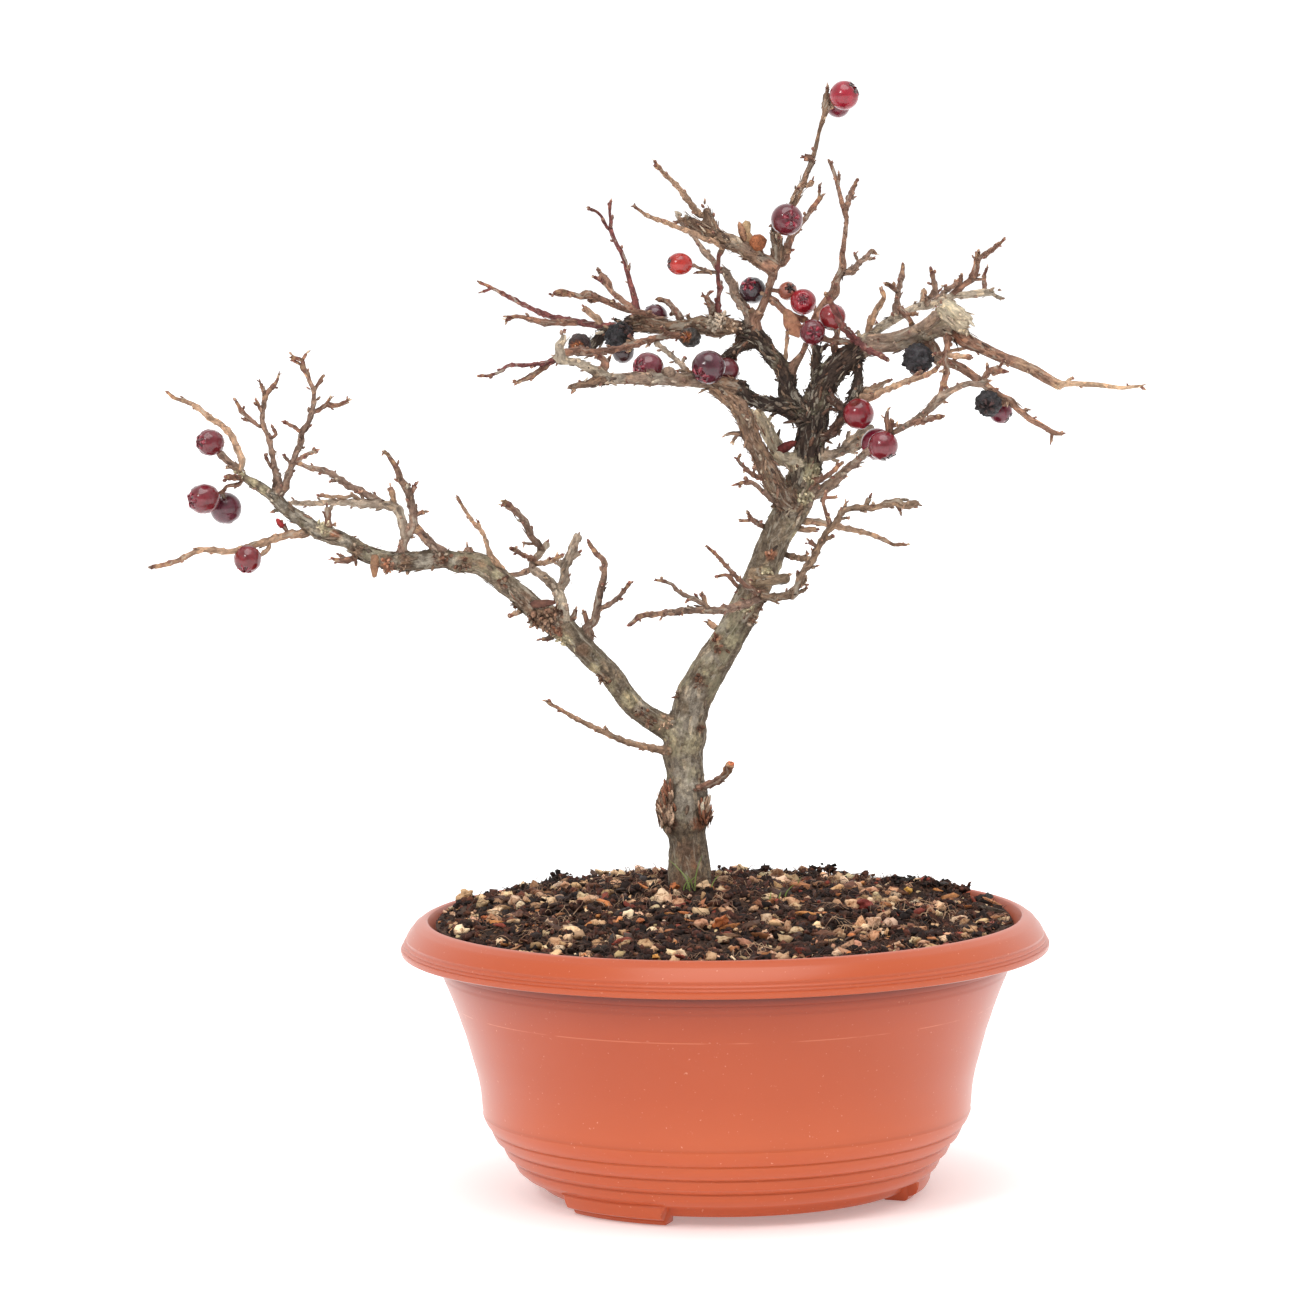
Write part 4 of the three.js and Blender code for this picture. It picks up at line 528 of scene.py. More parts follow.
# Tree: one grown piece of wood, from the stump in the soil to the last twig, with its graft swelling low down.
# Each row below is a branch: its name, what it grows from and its bark, - for none, then its points as x z radius
# depth, traced on an upright plane through the trunk; radius and depth are left out where they change evenly.
BRANCHES = """
trunk - bark: -11 66 7.6 0, -11 84 7.5, -11 100 7.2, -11.4 110 6.4, -11.8 114 6.3, -12.3 117.5 8.2, -12.9 123.5 8.9,
 -12.2 128.5 7.9, -12 132 6.3, -12.2 136 6.2, -12.8 141 6.8, -11.7 146 7, -10.8 152 6.1, -8.3 160 6.3, -2.4 170 5.8 2,
 3.9 180 5.3, 9 190 5.2 4, 14 200 5.2, 18 210 5.2 4, 21.5 216.5 5.4, 25 223 6 2, 28 232 5, 29.5 240 4.9 0, 31 250 5 0
left trunk bark: -16 148 4.4, -25 153.2 3.6, -30 157.8 3.7, -36 166.5 3.8, -42 172.5 3.8, -48 179 3.8 -14, -54 184 4.8,
 -60 188 3.8, -66 193.5 3.4, -72 198.5 3.5, -78 203 3.6, -85 203.7 3.5, -90 204.8 3, -100 204.1 3.3 -18, -108 204.5 3,
 -115 207 2.9, -120 210.5 2.3, -125 212.3 2.7, -130 214.4 2.6, -135.2 218 2.4, -139.5 221 2.3, -143.5 225,
 -148 228.5 1.8, -152.3 231.2, -155.3 233.3 1.2 -8
right trunk dark: 31 250 5, 33 257 4.6, 36 262.5 4.2, 40.5 267 3.8, 45 270.3 3.6, 49.8 271.8 3, 53.9 272.2 2.6,
 58 272.6 2.8 -2, 62.2 273.8 2.6, 66.3 275.9 3, 70.4 277.6 3.2, 73.7 277.8 3.4 -6, 76.7 276.7 3, 80.3 273.4 2.7,
 85.3 270.9 2.1, 89.4 268.8 2, 95.6 266.3 2, 99.7 264.5 1.9, 103 262.8 2, 108.4 259.5 1.7 -22, 110.5 258.6 1.7,
 112.1 259 1, 116.2 259 .9, 124.5 258.2 .8, 130.7 257.5 .6, 136.5 258 .45 -34
mid trunk dark: 27 250 3.4, 22.4 252.4 2.8, 18 253.3 2.6, 13.5 254.3 2.3, 10 255.9 2.2, 7 258.4 3, 3 259.8 2.6,
 -2 260.8 2.5 -7, -10 261.8 2.4, -15 261.9 2.2, -20 262 1.9, -22 262 2.4, -25.8 262.5 2, -35 262.3 1.9, -38.4 262 1.7,
 -42 260.8 1.3, -45.3 260.4 1.2, -48.1 259.8 1.1 -36
upper trunk dark: 27 250 4.4, 24.5 253.5 3.4, 22.9 256.4 3.2, 22.5 259.9 3, 21.7 263.4 2.9, 19.5 266.9 2.7,
 16.9 269.9 2.6, 14.8 273 2.8, 12.2 275.6 3, 9.6 277.3 2.6, 6.2 278.5 2.3, 2.7 278.9 3, 0 278.7 3.5, -5 279.6 2.9,
 -10 279.3 2.1, -15 279 2.1, -20 279.5 2.9, -25 280.8 3.4, -31 278.5 2.2, -36 277.5 1.9, -38 275.5 1.8, -41 273 1.7 20
leader upper flaky: 12.3 277 2.4, 11.9 281 2, 13.8 283.3 1.5, 15.3 286.5 1.4, 16.2 288.7, 17.1 292 1.3, 18.1 295.6 1.4,
 19 298.3 1.7, 19.6 300.1 2.2, 19.8 304.3 1.9, 18.8 308.6 1.5, 20 312.5 1.4, 23.3 316, 25.5 319.1 1.4, 26.4 321.5,
 27.9 324.1 1.3, 29.1 327.1 1.1, 30.4 330 1, 31.3 332.6, 32.8 338 .9, 33.8 342.2 .85, 35.2 346.4 1, 36 349.4 1.6,
 36 352.7 1.3, 36.3 355 .6 16
# Twigs low on the stem
- trunk tan: -19.5 141.5 1.3 -6, -24 142.5 1.1, -30 144, -35 146, -46 151.5 .8, -57 158 .5 -44
- trunk -: -7.6 129 1.2 -5, -4.6 130, -1.5 131.3, 1 133.3, 2.4 136.5 1.3 -16
cross trunk grey: 12 190.6 1.3 -5, 10 189.5, 5 188 1.2, 0 186.8, -10 187 1.1, -20 186, -25.5 185.5 .9,
 -29.5 182.5 .7 -42
crossR trunk olive: 14 191.3 1.3 -6, 21.5 191.5 1.3 -8, 27.5 197 1.1 -10
- cross grey: -4 188 .8, -8.2 190.5, -13.4 193, -16 195.8, -20.5 197 .5 -30
- cross -: -4.6 188.3 .8, -5.5 192 .6
- trunk -: -1 181 1, -4.2 183 .8
- trunk -: 12.3 192 1 -5, 7.6 195.5 .8, 3 200.2, -.7 204.5, -3.9 207.5 .5 -28
- trunk -: 5.5 194.7 .8 2, 2.5 198.2, -.5 198 .5
- trunk olive: 14 196.3 1.9 -3, 22.3 197.2 1.8 -8
rise crossR olive: 23.3 191 1.2, 27.2 199.4 1.1, 29.8 202.4 1.3, 31.9 207 1.1, 35 212.2, 37.9 215.2, 40 218.6 1,
 44.3 219.7 .9, 49.7 219.6, 52.3 220.2 1, 57 221.4 1.3, 59.9 220.1, 63.4 220.9 1.1, 64.6 220.5 .5 -36
- rise -: 40 218.6 .8, 40.9 221 .5
- rise olive: 47 219.6 .8, 48.6 222.7 .9
- rise -: 57.5 220.6 .8, 58.6 218.4 .6
- trunk olive: 22.7 204.3 1, 27.4 203.3 .9, 30.4 203 .9 -14
- rise -: 31.5 207 .7, 29 209 .8
- rise -: 35.7 215.3 .7, 33.9 220 .6, 34.2 222.8, 37.4 223.1 .5
- trunk tan: 26.9 215.7 1.1, 31.3 215.3 1.1, 36.9 213.9, 42.5 212.7, 48.9 211 .8, 53.1 209.2, 56.5 207.6,
 60.5 207.5 .5 22
- trunk tan: 26.2 213 .9, 31.3 212.8 .7
low trunk -: 14.3 214 .9, 10.9 216, 9.2 218.6 .6 -14
- low -: 10.9 216 .6, 7.3 215.9 .5
- trunk -: 17 223 .9 -6, 11.7 227.6, 9.6 228.5, 5.5 227.8 .5 -18
# Fork: flaky limb to the mid limb, its cut stub and twigs
flaky trunk flaky: 20 224 4 -3, 15 234 3.2, 11 242 2.9, 9.2 247.8 3, 7 251.8 2.8, 4.5 255, 1 257.8 2.6, -2 259.5 2.4 -7
- trunk cut: 21 236 2.6, 18 241 2.5, 12.2 251.8 2 7
- flaky -: 16 229 .9, 10.9 231, 7.9 233.7, 6.2 235.8, 6.8 237 .5 -22
- flaky -: 8 244 .9, 4.9 244.3, 2.6 243.8 .5
- trunk dark: 33.5 243 1.6 -3, 36.5 243.8 1.5, 38.8 246.5 1.5, 40.3 250 1.4 -8, 39 253 1.4, 36.5 255 1.5,
 33.5 256 1.4 -2
# Right-hand twigs from the stem
reach trunk grey: 31.3 224.4 2, 33 225.3 2, 37.2 228.2 1.9, 40.1 231.2 1.4, 44.4 234.6, 47.8 237.6 1.3, 52 240.8,
 56 243.5 1, 60.2 245.8 1.2, 64 248 1.3, 67.9 251 1.3, 70.9 254.2 1.8, 74.2 256.6 1.3, 77.5 258.2 1, 80.8 259.4,
 84.2 259 .9, 86.5 258.6 .6 -48
- reach -: 54.9 243 .8, 54.4 248.5 .8, 54.7 250.9 .5 -20
- reach -: 55.5 243.2 .9, 56.1 247.8 .8 -26
- reach -: 62 246.8 1, 67 247.8 .9, 69.6 248.6 1, 72.6 248.9 .6 -44
pale trunk pale: 34 236.6 1.6, 39.5 238 1.5, 47.8 241.3 1.5 14
- pale pale: 40.5 239.5 1.2, 44.8 243 1.2, 49.5 245.5 1.1 20
- trunk -: 33 229 .9 -6, 39.8 234.3 .6 -14
# Left limb's outer end
- left tan: -154.3 237 1.1, -155.5 241.3, -157.6 245.8, -160.6 249, -164 251.2, -168 254.8 .9, -171.4 256.6,
 -175.4 257.9, -178 259.8 .5 14
- left grey: -156 235 1.2, -160.5 239 1.1, -164.4 243.4 .6 -12
- left -: -154.4 231.8 1, -159.2 232.2 .9 -16
stalks left -: -155.3 229.8 .7, -159.2 229.2 .6, -160.6 227.5 .6, -166.8 225.2 .5 -14
- stalks -: -160.6 227.5 .6, -159.7 222 .5 -5.5
lower left tan: -133.6 213.7 1.4, -139.2 213.3 1.3, -143 212.3, -150 210.2, -155.4 208.5, -159.7 208 1, -167.6 208.7,
 -172 207, -176.6 204.9, -181 203.8 .8, -184 203.4 .6 -38
- lower -: -146 209.2 .8, -149 206.6 .6, -153 205.4 .5 -24
- lower -: -139.8 214 .6, -141.3 216.5 .9
tallL left -: -142 227.9 1.6, -143.2 232.5 1.2, -144.2 238.5, -145.1 243.2 1, -146.3 247.2, -147.4 250.1,
 -147.1 253.4 .9, -146.7 255.9, -146.2 258.1, -144.9 260.2 .9, -143 262, -141.8 264.9 .4 12
- tallL -: -146.2 258.1 .6, -147.8 262.5 .45
- tallL -: -146.9 248.7 .8, -148.8 248.7 .6, -151.4 251, -154 253.6 .8, -155.7 256.6 .4 0
- tallL -: -147.2 252 .5, -149.1 256.7 .5
- tallL -: -144.7 235 .6, -146.5 238.6 .5
- tallL -: -145 244.5 .6, -143 245.8 .6, -144 247.6 .5
tallR left -: -140.9 227.8 1.5, -139 233 1.2, -136.6 239.8 1.1, -135.1 242.9, -134.7 245.9, -132.8 249.1 1, -131.6 252,
 -130.8 254.9, -130.6 257.8, -130.4 260, -131.8 262.6, -132.5 265.1 .9, -133.9 267.4 .8, -134.2 269.6,
 -137.4 270.7 .6 -34
- tallR -: -134.2 269.6 .6, -132.8 271.7 .5
- tallR -: -130.4 260 .7, -127.7 264.1 .5 -24
- tallR -: -135 246.5 .6, -137.7 248.5, -140.2 249.7 .6 -30
side tallR -: -131.4 252.4 .8, -128.6 253.8 .7, -126.8 255.1 .8, -123.5 254.9 .8, -120 255.9 .6 -14
- side -: -126.8 255.1 .6, -125.4 257 .5
- tallR -: -136.8 237 .7, -132.9 239.2 .7, -130.3 240.4 .5 -32
loop left grey: -103.3 206.5 1.7, -102 211 1.6, -99.3 215.8, -99.2 219.8 1.5, -100 224.2, -101.2 228.2,
 -102.9 230.4 1.3, -104.2 234.3 1, -107.2 239.2 .6 -34
- loop -: -99.6 226 .8, -98.4 228.6 .8
- loop -: -98.5 219 .8, -95.6 220.2 .7
- left grey: -90 207 1.5, -94 210.2, -99 216 1.4 -22
flat loop pale: -102 213 1.6, -103 218.6, -104.8 221.7, -108.8 222.6 1.5, -115 223.1, -123.8 223.6 1.2, -132.5 223.3,
 -138.4 223.6 .7 6
- flat grey: -108.8 223.2 1.2, -113.1 225.3, -116.6 227.5, -120.1 229, -123.6 231.6, -127.9 233.9 1, -132.3 234.8,
 -136 236.5 .7 14
- flat -: -105.2 223.5 1, -106.3 228.3 .8
- flat -: -115.9 223.9 .7, -118.5 225.6 .6, -121.1 225.2, -129.2 225.7 .5 -2
- left -: -126.7 216 1.2, -127 222 .9 -14
- left -: -118.3 205.6 1, -122.2 204.5 .9, -125.3 205.2 .6 -20
- left -: -107.6 203 1.2, -107.9 200.7 1.1
- left -: -81 205 1.8, -81.8 208.6 1.2
# Twigs along the left limb
- left tan: -70.4 200.5 .9, -71.7 202.6, -74.6 206.6, -76.3 212.3, -80.2 217.2, -82.4 220.7, -84.6 224.7 .5 -40
pair left pale: -51 185.7 2.2, -51.4 190.1 2, -52.7 193.3 2 -4
pairR pair pale: -50.4 197.6 1.6, -50.4 201, -48.6 204.6, -47.3 208.5, -45.5 212.2 1.3 -2
- pairR pale: -48.9 204 1, -45.6 206.4 1.2
- pairR pale: -50.4 201 1, -52.4 203.6 .9
pairL pair pale: -55.7 197.2 1.5, -58.3 199.4, -60.9 201.2 1.3, -60 204.2 1.2, -57.4 206.8, -55.7 209.8 1 8
- pairL grey: -60.9 201.2 1, -64.5 199.5, -68.4 199.1 .8 4
- pairL -: -60 204.2 .9, -63.5 205.6, -67.5 208 .7 -14
- pairL -: -57.4 206.8 1.1, -58.4 208.7, -61 211.8, -63.1 216.6, -66.2 220.2, -69.7 223.2 1 -2
- pairL -: -59.8 202.6 .8, -53.9 203.7 .7, -52.8 205 .6 -8
arm left grey: -42.7 179 1.7, -43.1 182.1, -41 183.8, -40 187.8 1.5, -39.1 193, -37.8 197.4 1.2, -37.5 200.9,
 -37.7 203.6, -40.3 206.2 .9, -42.5 209.8 .6 -34
- arm grey: -39.2 187.8 .9, -35.7 189.5, -32.6 192, -30.8 194.2, -29.5 195.9 .6 -30
- arm -: -43 183 1, -44.4 187 .8
- left -: -64.8 187.5 .9, -68.3 185.9 .7 -24
- left -: -54.9 179 .9, -58 178.2 .7
- left -: -47.9 185 .9, -46.9 187.7 .7
# Crown, left half
- upper dark: 10.5 273.5 2, 6.1 271.4 1.6, 3.3 270.1 1.3, 1.6 268.8 1 0, -3 265.7 .6 -14
- upper dark: 6.1 271.4 1.4, 2.8 264.5 .7 -1
- mid -: -9.5 262 1.6, -9.5 265 1.4
- mid brown: -22 262 2.4, -21.4 266 .8, -22.5 265.8 .6 -12
plume upper red: -25.7 281 3, -25.7 284 1.3, -26.3 287.3, -27.7 292.6 .9, -28.8 296.9 .8, -29.8 300.9 .8, -30.7 303.3,
 -32.1 305.7 .7, -33.4 308.7, -34 310.7 .8 30
- plume red: -34 310.7 .8, -35.1 311.2 .6, -37 314.8 .5, -38.6 316.3, -40.3 317.1 .45 26
- plume red: -34 310.7 .8, -34 312.8 .5, -34.2 317.2 .5, -33.8 319.2 .45 34
tuft plume brown: -26.5 284.5 1.2, -29.8 287 1.1, -31.6 288.7, -34 290.6 1, -35 293 1.6, -36 294 1.8, -38 297.6 .6 36
- tuft red: -36 293.5 .8, -39.4 295.3 .5
- upper brown: -20 281.9 1, -24 283.6 1, -28.9 284.5, -34.8 287, -40 289.2 1.3, -42.4 289.6 1.7, -44 289 1.1,
 -46.5 289.7 1, -50 290.3 1.5, -53.5 290 .8 -14
long upper red: -31 279 1.2, -34.6 279.5 1, -40 280 1.1, -50 281.8 1.1, -55.2 283.4 .9, -59.9 285.5, -65.8 288.6 .75,
 -71.8 291.8 .6, -76.4 294.1 .45 56
- long red: -72.5 292.2 .5, -75.3 291 .45
- long brown: -45 280.8 1.1, -51 280.7 1, -56.2 280.9 1.1, -59.9 281.9 .9, -64 282.8 .6, -67.8 282.8 .45 24
- long -: -37.5 280 1.1, -38.6 282, -40.5 283.2 1, -42.9 285.7 .8
sweep upper -: -11.5 276.5 1.3, -16 276.2 1.2, -20 275.3 1, -23.7 274.4, -27.1 273.4 1.2, -31.4 272.2 1, -37.5 271.3,
 -42.6 271 1.2, -47.2 271.5 1.1, -51.5 269.6 1.2, -55.5 267 1.1, -58.2 264.9 1, -61.3 263.1 .9, -64.6 261.7 .5 -26
- sweep -: -27.1 273.4 .9, -31.5 276 .6 7
- sweep -: -27.1 273.4 .9, -30.5 271 .6 13.8
- sweep -: -42.6 271 .9, -44.5 273.5 .6 4
- sweep red: -52 268.7 .8, -55.2 268 .7, -60.4 267.2, -67.4 267.1, -69.8 265.5 .6, -73 264.1, -76.8 263.9 .45 -44
- mid pale: -36 263 1.8, -38 264.5 1.8, -40 265.4, -43.2 266.7 1.6, -46 268 1.3, -48.3 268.3 1.3, -50.5 269 2,
 -50.8 271.2 1.7, -51.2 273.5 1.4, -49.8 275.4 1.2, -49.3 277.5 .9 -40
- mid -: -37 264 1.4, -36.4 268 1.2, -38.5 269.8 1
- mid pale: -10 264.5 .8, -13 268, -19.9 273.9 .8 8
- upper -: -11.9 281.5 1.2, -13.6 284.2, -15.8 286.8, -19 288 .7 24
- upper -: -1.3 282.5 1.4, -1.9 285.1 1.3, -2.7 287.3 .9, -4.2 288.7 .5 2
# Crown, middle
- leader -: 28.5 323.8 .8, 30.5 324.3 .8, 31.2 325.5 .7
- leader -: 30.2 332.6 1.2, 28.6 332.8 1
- leader -: 12 283 1, 10.6 284.3 .9
- leader -: 21.5 302.5 .9, 24 303.1 .9
- leader -: 19.2 306.5 .8, 22.8 313 .6 4
- leader -: 36.2 350 1, 38.5 350.5 .8, 41.7 352.6 .7 13
- leader -: 36 348.5 .8, 39.6 349.4 .7 21.5
- leader -: 21.3 299 1.6, 23.1 304.4 1.4, 24 307 1.2, 28.4 312.8 .9, 30.5 315.7, 32.7 318.6 .8, 34.2 320.5 .5 26
bough leader flaky: 18.5 297.5 3, 16 299 2.9, 12.1 301.5 2.6, 8.3 304.4 2.6, 4.5 306 2.7, 1.4 307.3 2.3, -2.4 309.3 2,
 -6.2 311.4 2.2, -8.7 312.7 1.8, -10.4 314 1.3 0
prong bough flaky: -.7 309.5 1.9, -1.7 312.5 1.8, -2.8 314.6 1.8, -3.6 318.4 .5
- prong tan: -5.1 314.8 1.1, -7.6 317.8 1, -10.1 321.3 .9, -13.4 325.3, -16.8 328.5 .75, -19.5 332.2 .45 -24
- upper grey: 10.8 280 1.8, 8.7 285.4 1.6, 6 288.7 1.7, 5.3 292 1.6, 3.9 294.2 1.5, 2.8 296.6 1.4, 0 297.7 1.1,
 -1.2 300.2, -4.1 303.2 1.2, -5.4 305.3 .9, -8.4 309.5 .8, -10.9 312.5 1, -12.8 315 .5 40
thin upper red: 0 282.5 1.1, .3 285.7 .9, .6 288.9 .7, 1 291.4 .9, .4 294.5 .7, .5 299 .7, 1 302 .8, 2.6 305 .8 4
- thin tan: 2 303.8 .9, 0 305.9 .9, -4.7 307.5, -7.3 309, -12 310.8 .8, -16.2 312.6, -20.3 314 .7, -23 315.4 .6,
 -26 317.6 .45 -22
- thin -: 0 296.4 .6, -3.4 296.9 .5, -7.6 298.8 .5, -11.9 299.2 .5 -6
- thin -: 0 296.4 .5, -6.4 296.3 .5 2
- leader -: 16.8 287.9 1.2, 19.8 285.5, 22 283.3, 25.6 281.5, 29 280.5 1 6
- leader -: 16.8 290.4 .7, 22.8 290 .6 8
- leader -: 15.9 288.7 .7, 11.6 290.4 .6 13.6
- upper -: -9 279.4 .9, -8.9 275.4 .7 5
# Crown, right half
grey right pale: 47 274 1.8, 50.5 276.2 1.5, 53.8 278.7 1.6, 57.2 280.7 1.7, 60.5 282.4 1.5, 64.6 284.4 1.4,
 68.4 284.8 1.5, 72.5 286.4 1.4, 76.7 288 1.3, 80 288, 86.3 288.7 1.5, 88.7 288.7 1.2, 90.8 289.5 .6 40
- right grey: 48.8 274 1.6, 53.8 274.5 1.5, 57.9 275.2 1.5, 61.2 276 1.8, 65 277.5 1.7, 68.8 280 1.7, 71 282.4 1.7 -10
- - cut: 72.6 284.8 3.1 -10, 76.5 281.6 3.5, 80.7 278.2 3.2 -11
- grey -: 48.8 275.8 1.1, 49.2 278.9, 50.9 282.6 1.1, 52.6 285.4 .9, 53.9 287.8, 53.3 289.9 .6 -6
spike grey -: 57.9 282 1.5, 57.9 283.6 1.5, 58.2 286.9 1, 58.7 289.8 .9, 59.3 293.1 1, 60 296 .8, 60.1 298.1 .5 24
- spike -: 58.6 289 .8, 55.9 291.4, 54.5 291.9 .8 10
- grey -: 59 284 .9 4, 62 280.3 .9, 62.8 278.6 .8 -4
- grey -: 67 284.3 1, 68.3 286.8 .9, 69.7 288.4, 70.4 290 1, 69.8 293.3, 69 296.4 .6 8
- grey -: 66.2 284.3 1, 66.7 289.5 .9 24
- grey -: 70 286 .9, 74.7 290 .8, 77.7 291.6 .9, 77.9 292.8 .6 36
crest grey -: 75.5 287.6 1.1, 76.3 288.7, 79.6 291.2 1, 82.1 293.2, 83.4 295.7 1.3, 84 298.6 1, 84.3 301.9 .9 24
- crest -: 84 299.4 .8, 87.2 301.4 .9, 89.7 303, 92.6 305.6 .45 14
- crest -: 82 292.9 .7, 84.9 293 .5
- grey -: 86.3 289 .9, 86.2 294.2 .6 44
- right red: 45.4 273.2 1.2 -2, 43 275.6 1.2, 40.1 279, 38.5 282.7 1.1, 36.4 286.9, 35.2 289 .6 -18
- right red: 45.4 273.2 1 -5, 48.7 270.7 1, 52.4 269, 54.8 267.5 .8 -16
hold right -: 42.4 273.1 1 -2, 36.7 273.7 1, 33.5 275 1, 30.7 276.6 .6 -6
- hold -: 39 273.5 .8, 37.2 281.5 .6 -2
- right -: 38 268 1, 38 273 1, 39 277 .8 8
back upper -: 23.5 263.5 1.8, 24.6 266 1.8, 27.3 269.7 1.1, 28.3 272, 30 277 1.2, 32 282 1.4 12, 35 286,
 37.9 289.4 1.9, 38.3 292.3 1.5, 39.6 295.2 1.3, 40.7 297.6 1.4, 40.5 301 1.2, 41 304.3 1, 41.5 308.4, 42 312.6 .9,
 41.5 315.4 1, 40.8 317.5 .9, 40.1 320.2 .8, 38.7 326.1 .7, 37.6 329.4, 36.7 331.5 .6 48
- back -: 42 316 .9, 42.9 319.5 1, 43.8 321.5 .9, 44.9 323.9 .5 56
- back -: 40.5 295.5 1.2, 43.6 296.4 1.2, 46.1 298.8 .9, 48.5 300.8, 49.9 302.5 .8, 51.5 301.6 .5 38
- right dark: 31.8 260 2, 31.8 266 1.9, 32.3 272.3 1.7 6
- upper -: 21.5 267 .6, 22 269, 22.6 277 .6 1
drop right dark: 44.9 266.5 1.6, 45.3 262.9 1.5, 45.2 259.6 1.9, 44.3 256.3 2, 42.6 253.4 1.6, 40 250 1.5 -8
- drop -: 44.3 256.3 .9, 45.4 250 .6 -13
far drop -: 45.5 255.5 1.2, 48 255.3 1.1, 50 255.3 1, 53.4 257.4, 57.5 259, 61.6 260.6 .9, 65.8 261.8, 70 263.8,
 71.7 266.2 .7 -34
- far -: 61.6 260.6 .7, 65 263.2 .6 -22
- drop -: 46 257.5 1.2, 50.6 258.1 1.2, 53.5 260 .7, 55.6 260.8 .5 4
fall right brown: 68 273 2, 70.1 270.6 2, 70.6 267.5 1.8, 73.3 266.5 1.6, 76.3 265.6, 79.1 264.3 1.6, 82.4 261.9 1.5,
 85.9 259.3 1.5, 88 257.5 1.4, 91.4 255.1 1.3, 94.7 253.5 1.4, 96.4 251.2 1.1, 98.4 249.7, 100.2 248.1 1.1,
 104.4 245.6 .9, 108.1 243.4 .9, 110.5 242.7 .6 -30
- fall -: 88.5 257.1 .9, 87.2 252.9 .7 -22
- fall -: 93 254.3 .9, 91.3 250.2 .7 -15
- fall -: 107.9 243.3 .7, 107.6 241 .5
dip right brown: 74.4 274 1.3 -9, 74.1 270.6 1.1, 73.4 267.3, 74 265.2, 73.3 261 1, 72.4 258.6, 71.5 255.5 .6 -22
- fall -: 71.6 269 .8, 76.2 270.2 .6, 80.4 271 .5 -2
- dip -: 74.1 268.6 .9, 78.3 268.3 .9, 81.6 267.9 .8 -20
- fall brown: 85.3 260.3 1, 87.8 263.2 .9, 90.3 263.6 1.3, 92.9 263.2 .6 -30
- right -: 64.5 272.5 .9, 64.7 267.4 .7 -11
- reach -: 50 239.3 .8, 53.2 239.6 .6 -24.5
- reach -: 50 239.3 .8, 51.2 240.2 .6 -11.3
"""


def within(value):
    return min(1, max(0, value))


def read_line(text):
    """Rows of four numbers, the ones that are left out as None."""
    rows = []
    for item in text.split(","):
        numbers = [float(number) for number in item.split()]
        rows.append(numbers + [None] * (4 - len(numbers)))
    return rows


def fill_evenly(rows, key):
    """Fills in the radii or depths that are left out, evenly along the line."""
    last = 0
    for i in range(1, len(rows)):
        if rows[i][key] is None and i < len(rows) - 1:
            continue
        if rows[i][key] is None:
            rows[i][key] = rows[last][key]
        along = [0]
        for j in range(last + 1, i + 1):
            along.append(along[-1] + math.hypot(rows[j][0] - rows[j - 1][0], rows[j][1] - rows[j - 1][1]))
        for j in range(last + 1, i):
            rows[j][key] = rows[last][key] + (rows[i][key] - rows[last][key]) * along[j - last] / along[-1]
        last = i


def root_on(parent, x, z):
    """The gap to the nearest point of the parent branch, and that point as x, z, depth."""
    best = None
    for a, b in zip(parent, parent[1:]):
        dx, dz = b[0] - a[0], b[1] - a[1]
        part = within(((x - a[0]) * dx + (z - a[1]) * dz) / (dx * dx + dz * dz))
        near = (a[0] + dx * part, a[1] + dz * part, a[3] + (b[3] - a[3]) * part)
        gap = math.hypot(x - near[0], z - near[1])
        if best is None or gap < best[0]:
            best = (gap, near)
    return best


def place(x, z, depth):
    """The point that is seen at x, z of the layout plane and stands so far behind it."""
    return EYE + (Vector((x, LAYOUT, z)) - EYE) * ((LAYOUT + depth - EYE.y) / (LAYOUT - EYE.y))


def seen_at(spot):
    """Where a point of the tree is seen on the layout plane."""
    return EYE + (spot - EYE) * ((LAYOUT - EYE.y) / (spot.y - EYE.y))


def smooth_run(rows, step):
    """Points at even steps on a smooth curve through the rows, each as place and radius."""
    points = [(place(row[0], row[1], row[3]), row[2]) for row in rows]
    run = []
    for i in range(len(points) - 1):
        p0, p1, p2, p3 = points[max(i - 1, 0)], points[i], points[i + 1], points[min(i + 2, len(points) - 1)]
        count = max(1, round((p2[0] - p1[0]).length / step))
        for k in range(count):
            t = k / count
            a = 2 * p1[0]
            b = p2[0] - p0[0]
            c = 2 * p0[0] - 5 * p1[0] + 4 * p2[0] - p3[0]
            d = -p0[0] + 3 * p1[0] - 3 * p2[0] + p3[0]
            run.append((0.5 * (a + b * t + c * t * t + d * t ** 3), p1[1] + (p2[1] - p1[1]) * t))
    run.append(points[-1])
    return run


def square_to(ahead, vector):
    """The part of a vector that stands square to a unit direction, made one long."""
    return (vector - ahead * vector.dot(ahead)).normalized()


BARK = {
    "bark": (0.182, 0.143, 0.104), "dark": (0.050, 0.032, 0.025), "brown": (0.31, 0.175, 0.125),
    "red": (0.22, 0.075, 0.072), "tan": (0.62, 0.42, 0.285), "grey": (0.31, 0.22, 0.17),
    "olive": (0.33, 0.24, 0.165), "pale": (0.52, 0.44, 0.35), "cut": (0.62, 0.53, 0.40), "flaky": (0.26, 0.165, 0.115),
    "silver": (0.44, 0.40, 0.335), "lichen": (0.58, 0.52, 0.34), "scar": (0.14, 0.065, 0.040),
    "rust": (0.33, 0.135, 0.075), "umber": (0.20, 0.124, 0.083), "orange": (0.66, 0.22, 0.10),
}
# How rugged each bark is, and how many peeling scraps it bears on a square centimetre
RUGGED = {
    "bark": (0.16, 0.5), "dark": (1.0, 22), "flaky": (0.6, 22), "pale": (0.4, 5), "cut": (0.8, 8), "grey": (0.35, 9),
    "brown": (0.2, 2), "tan": (0.15, 0), "red": (0.15, 0),
}
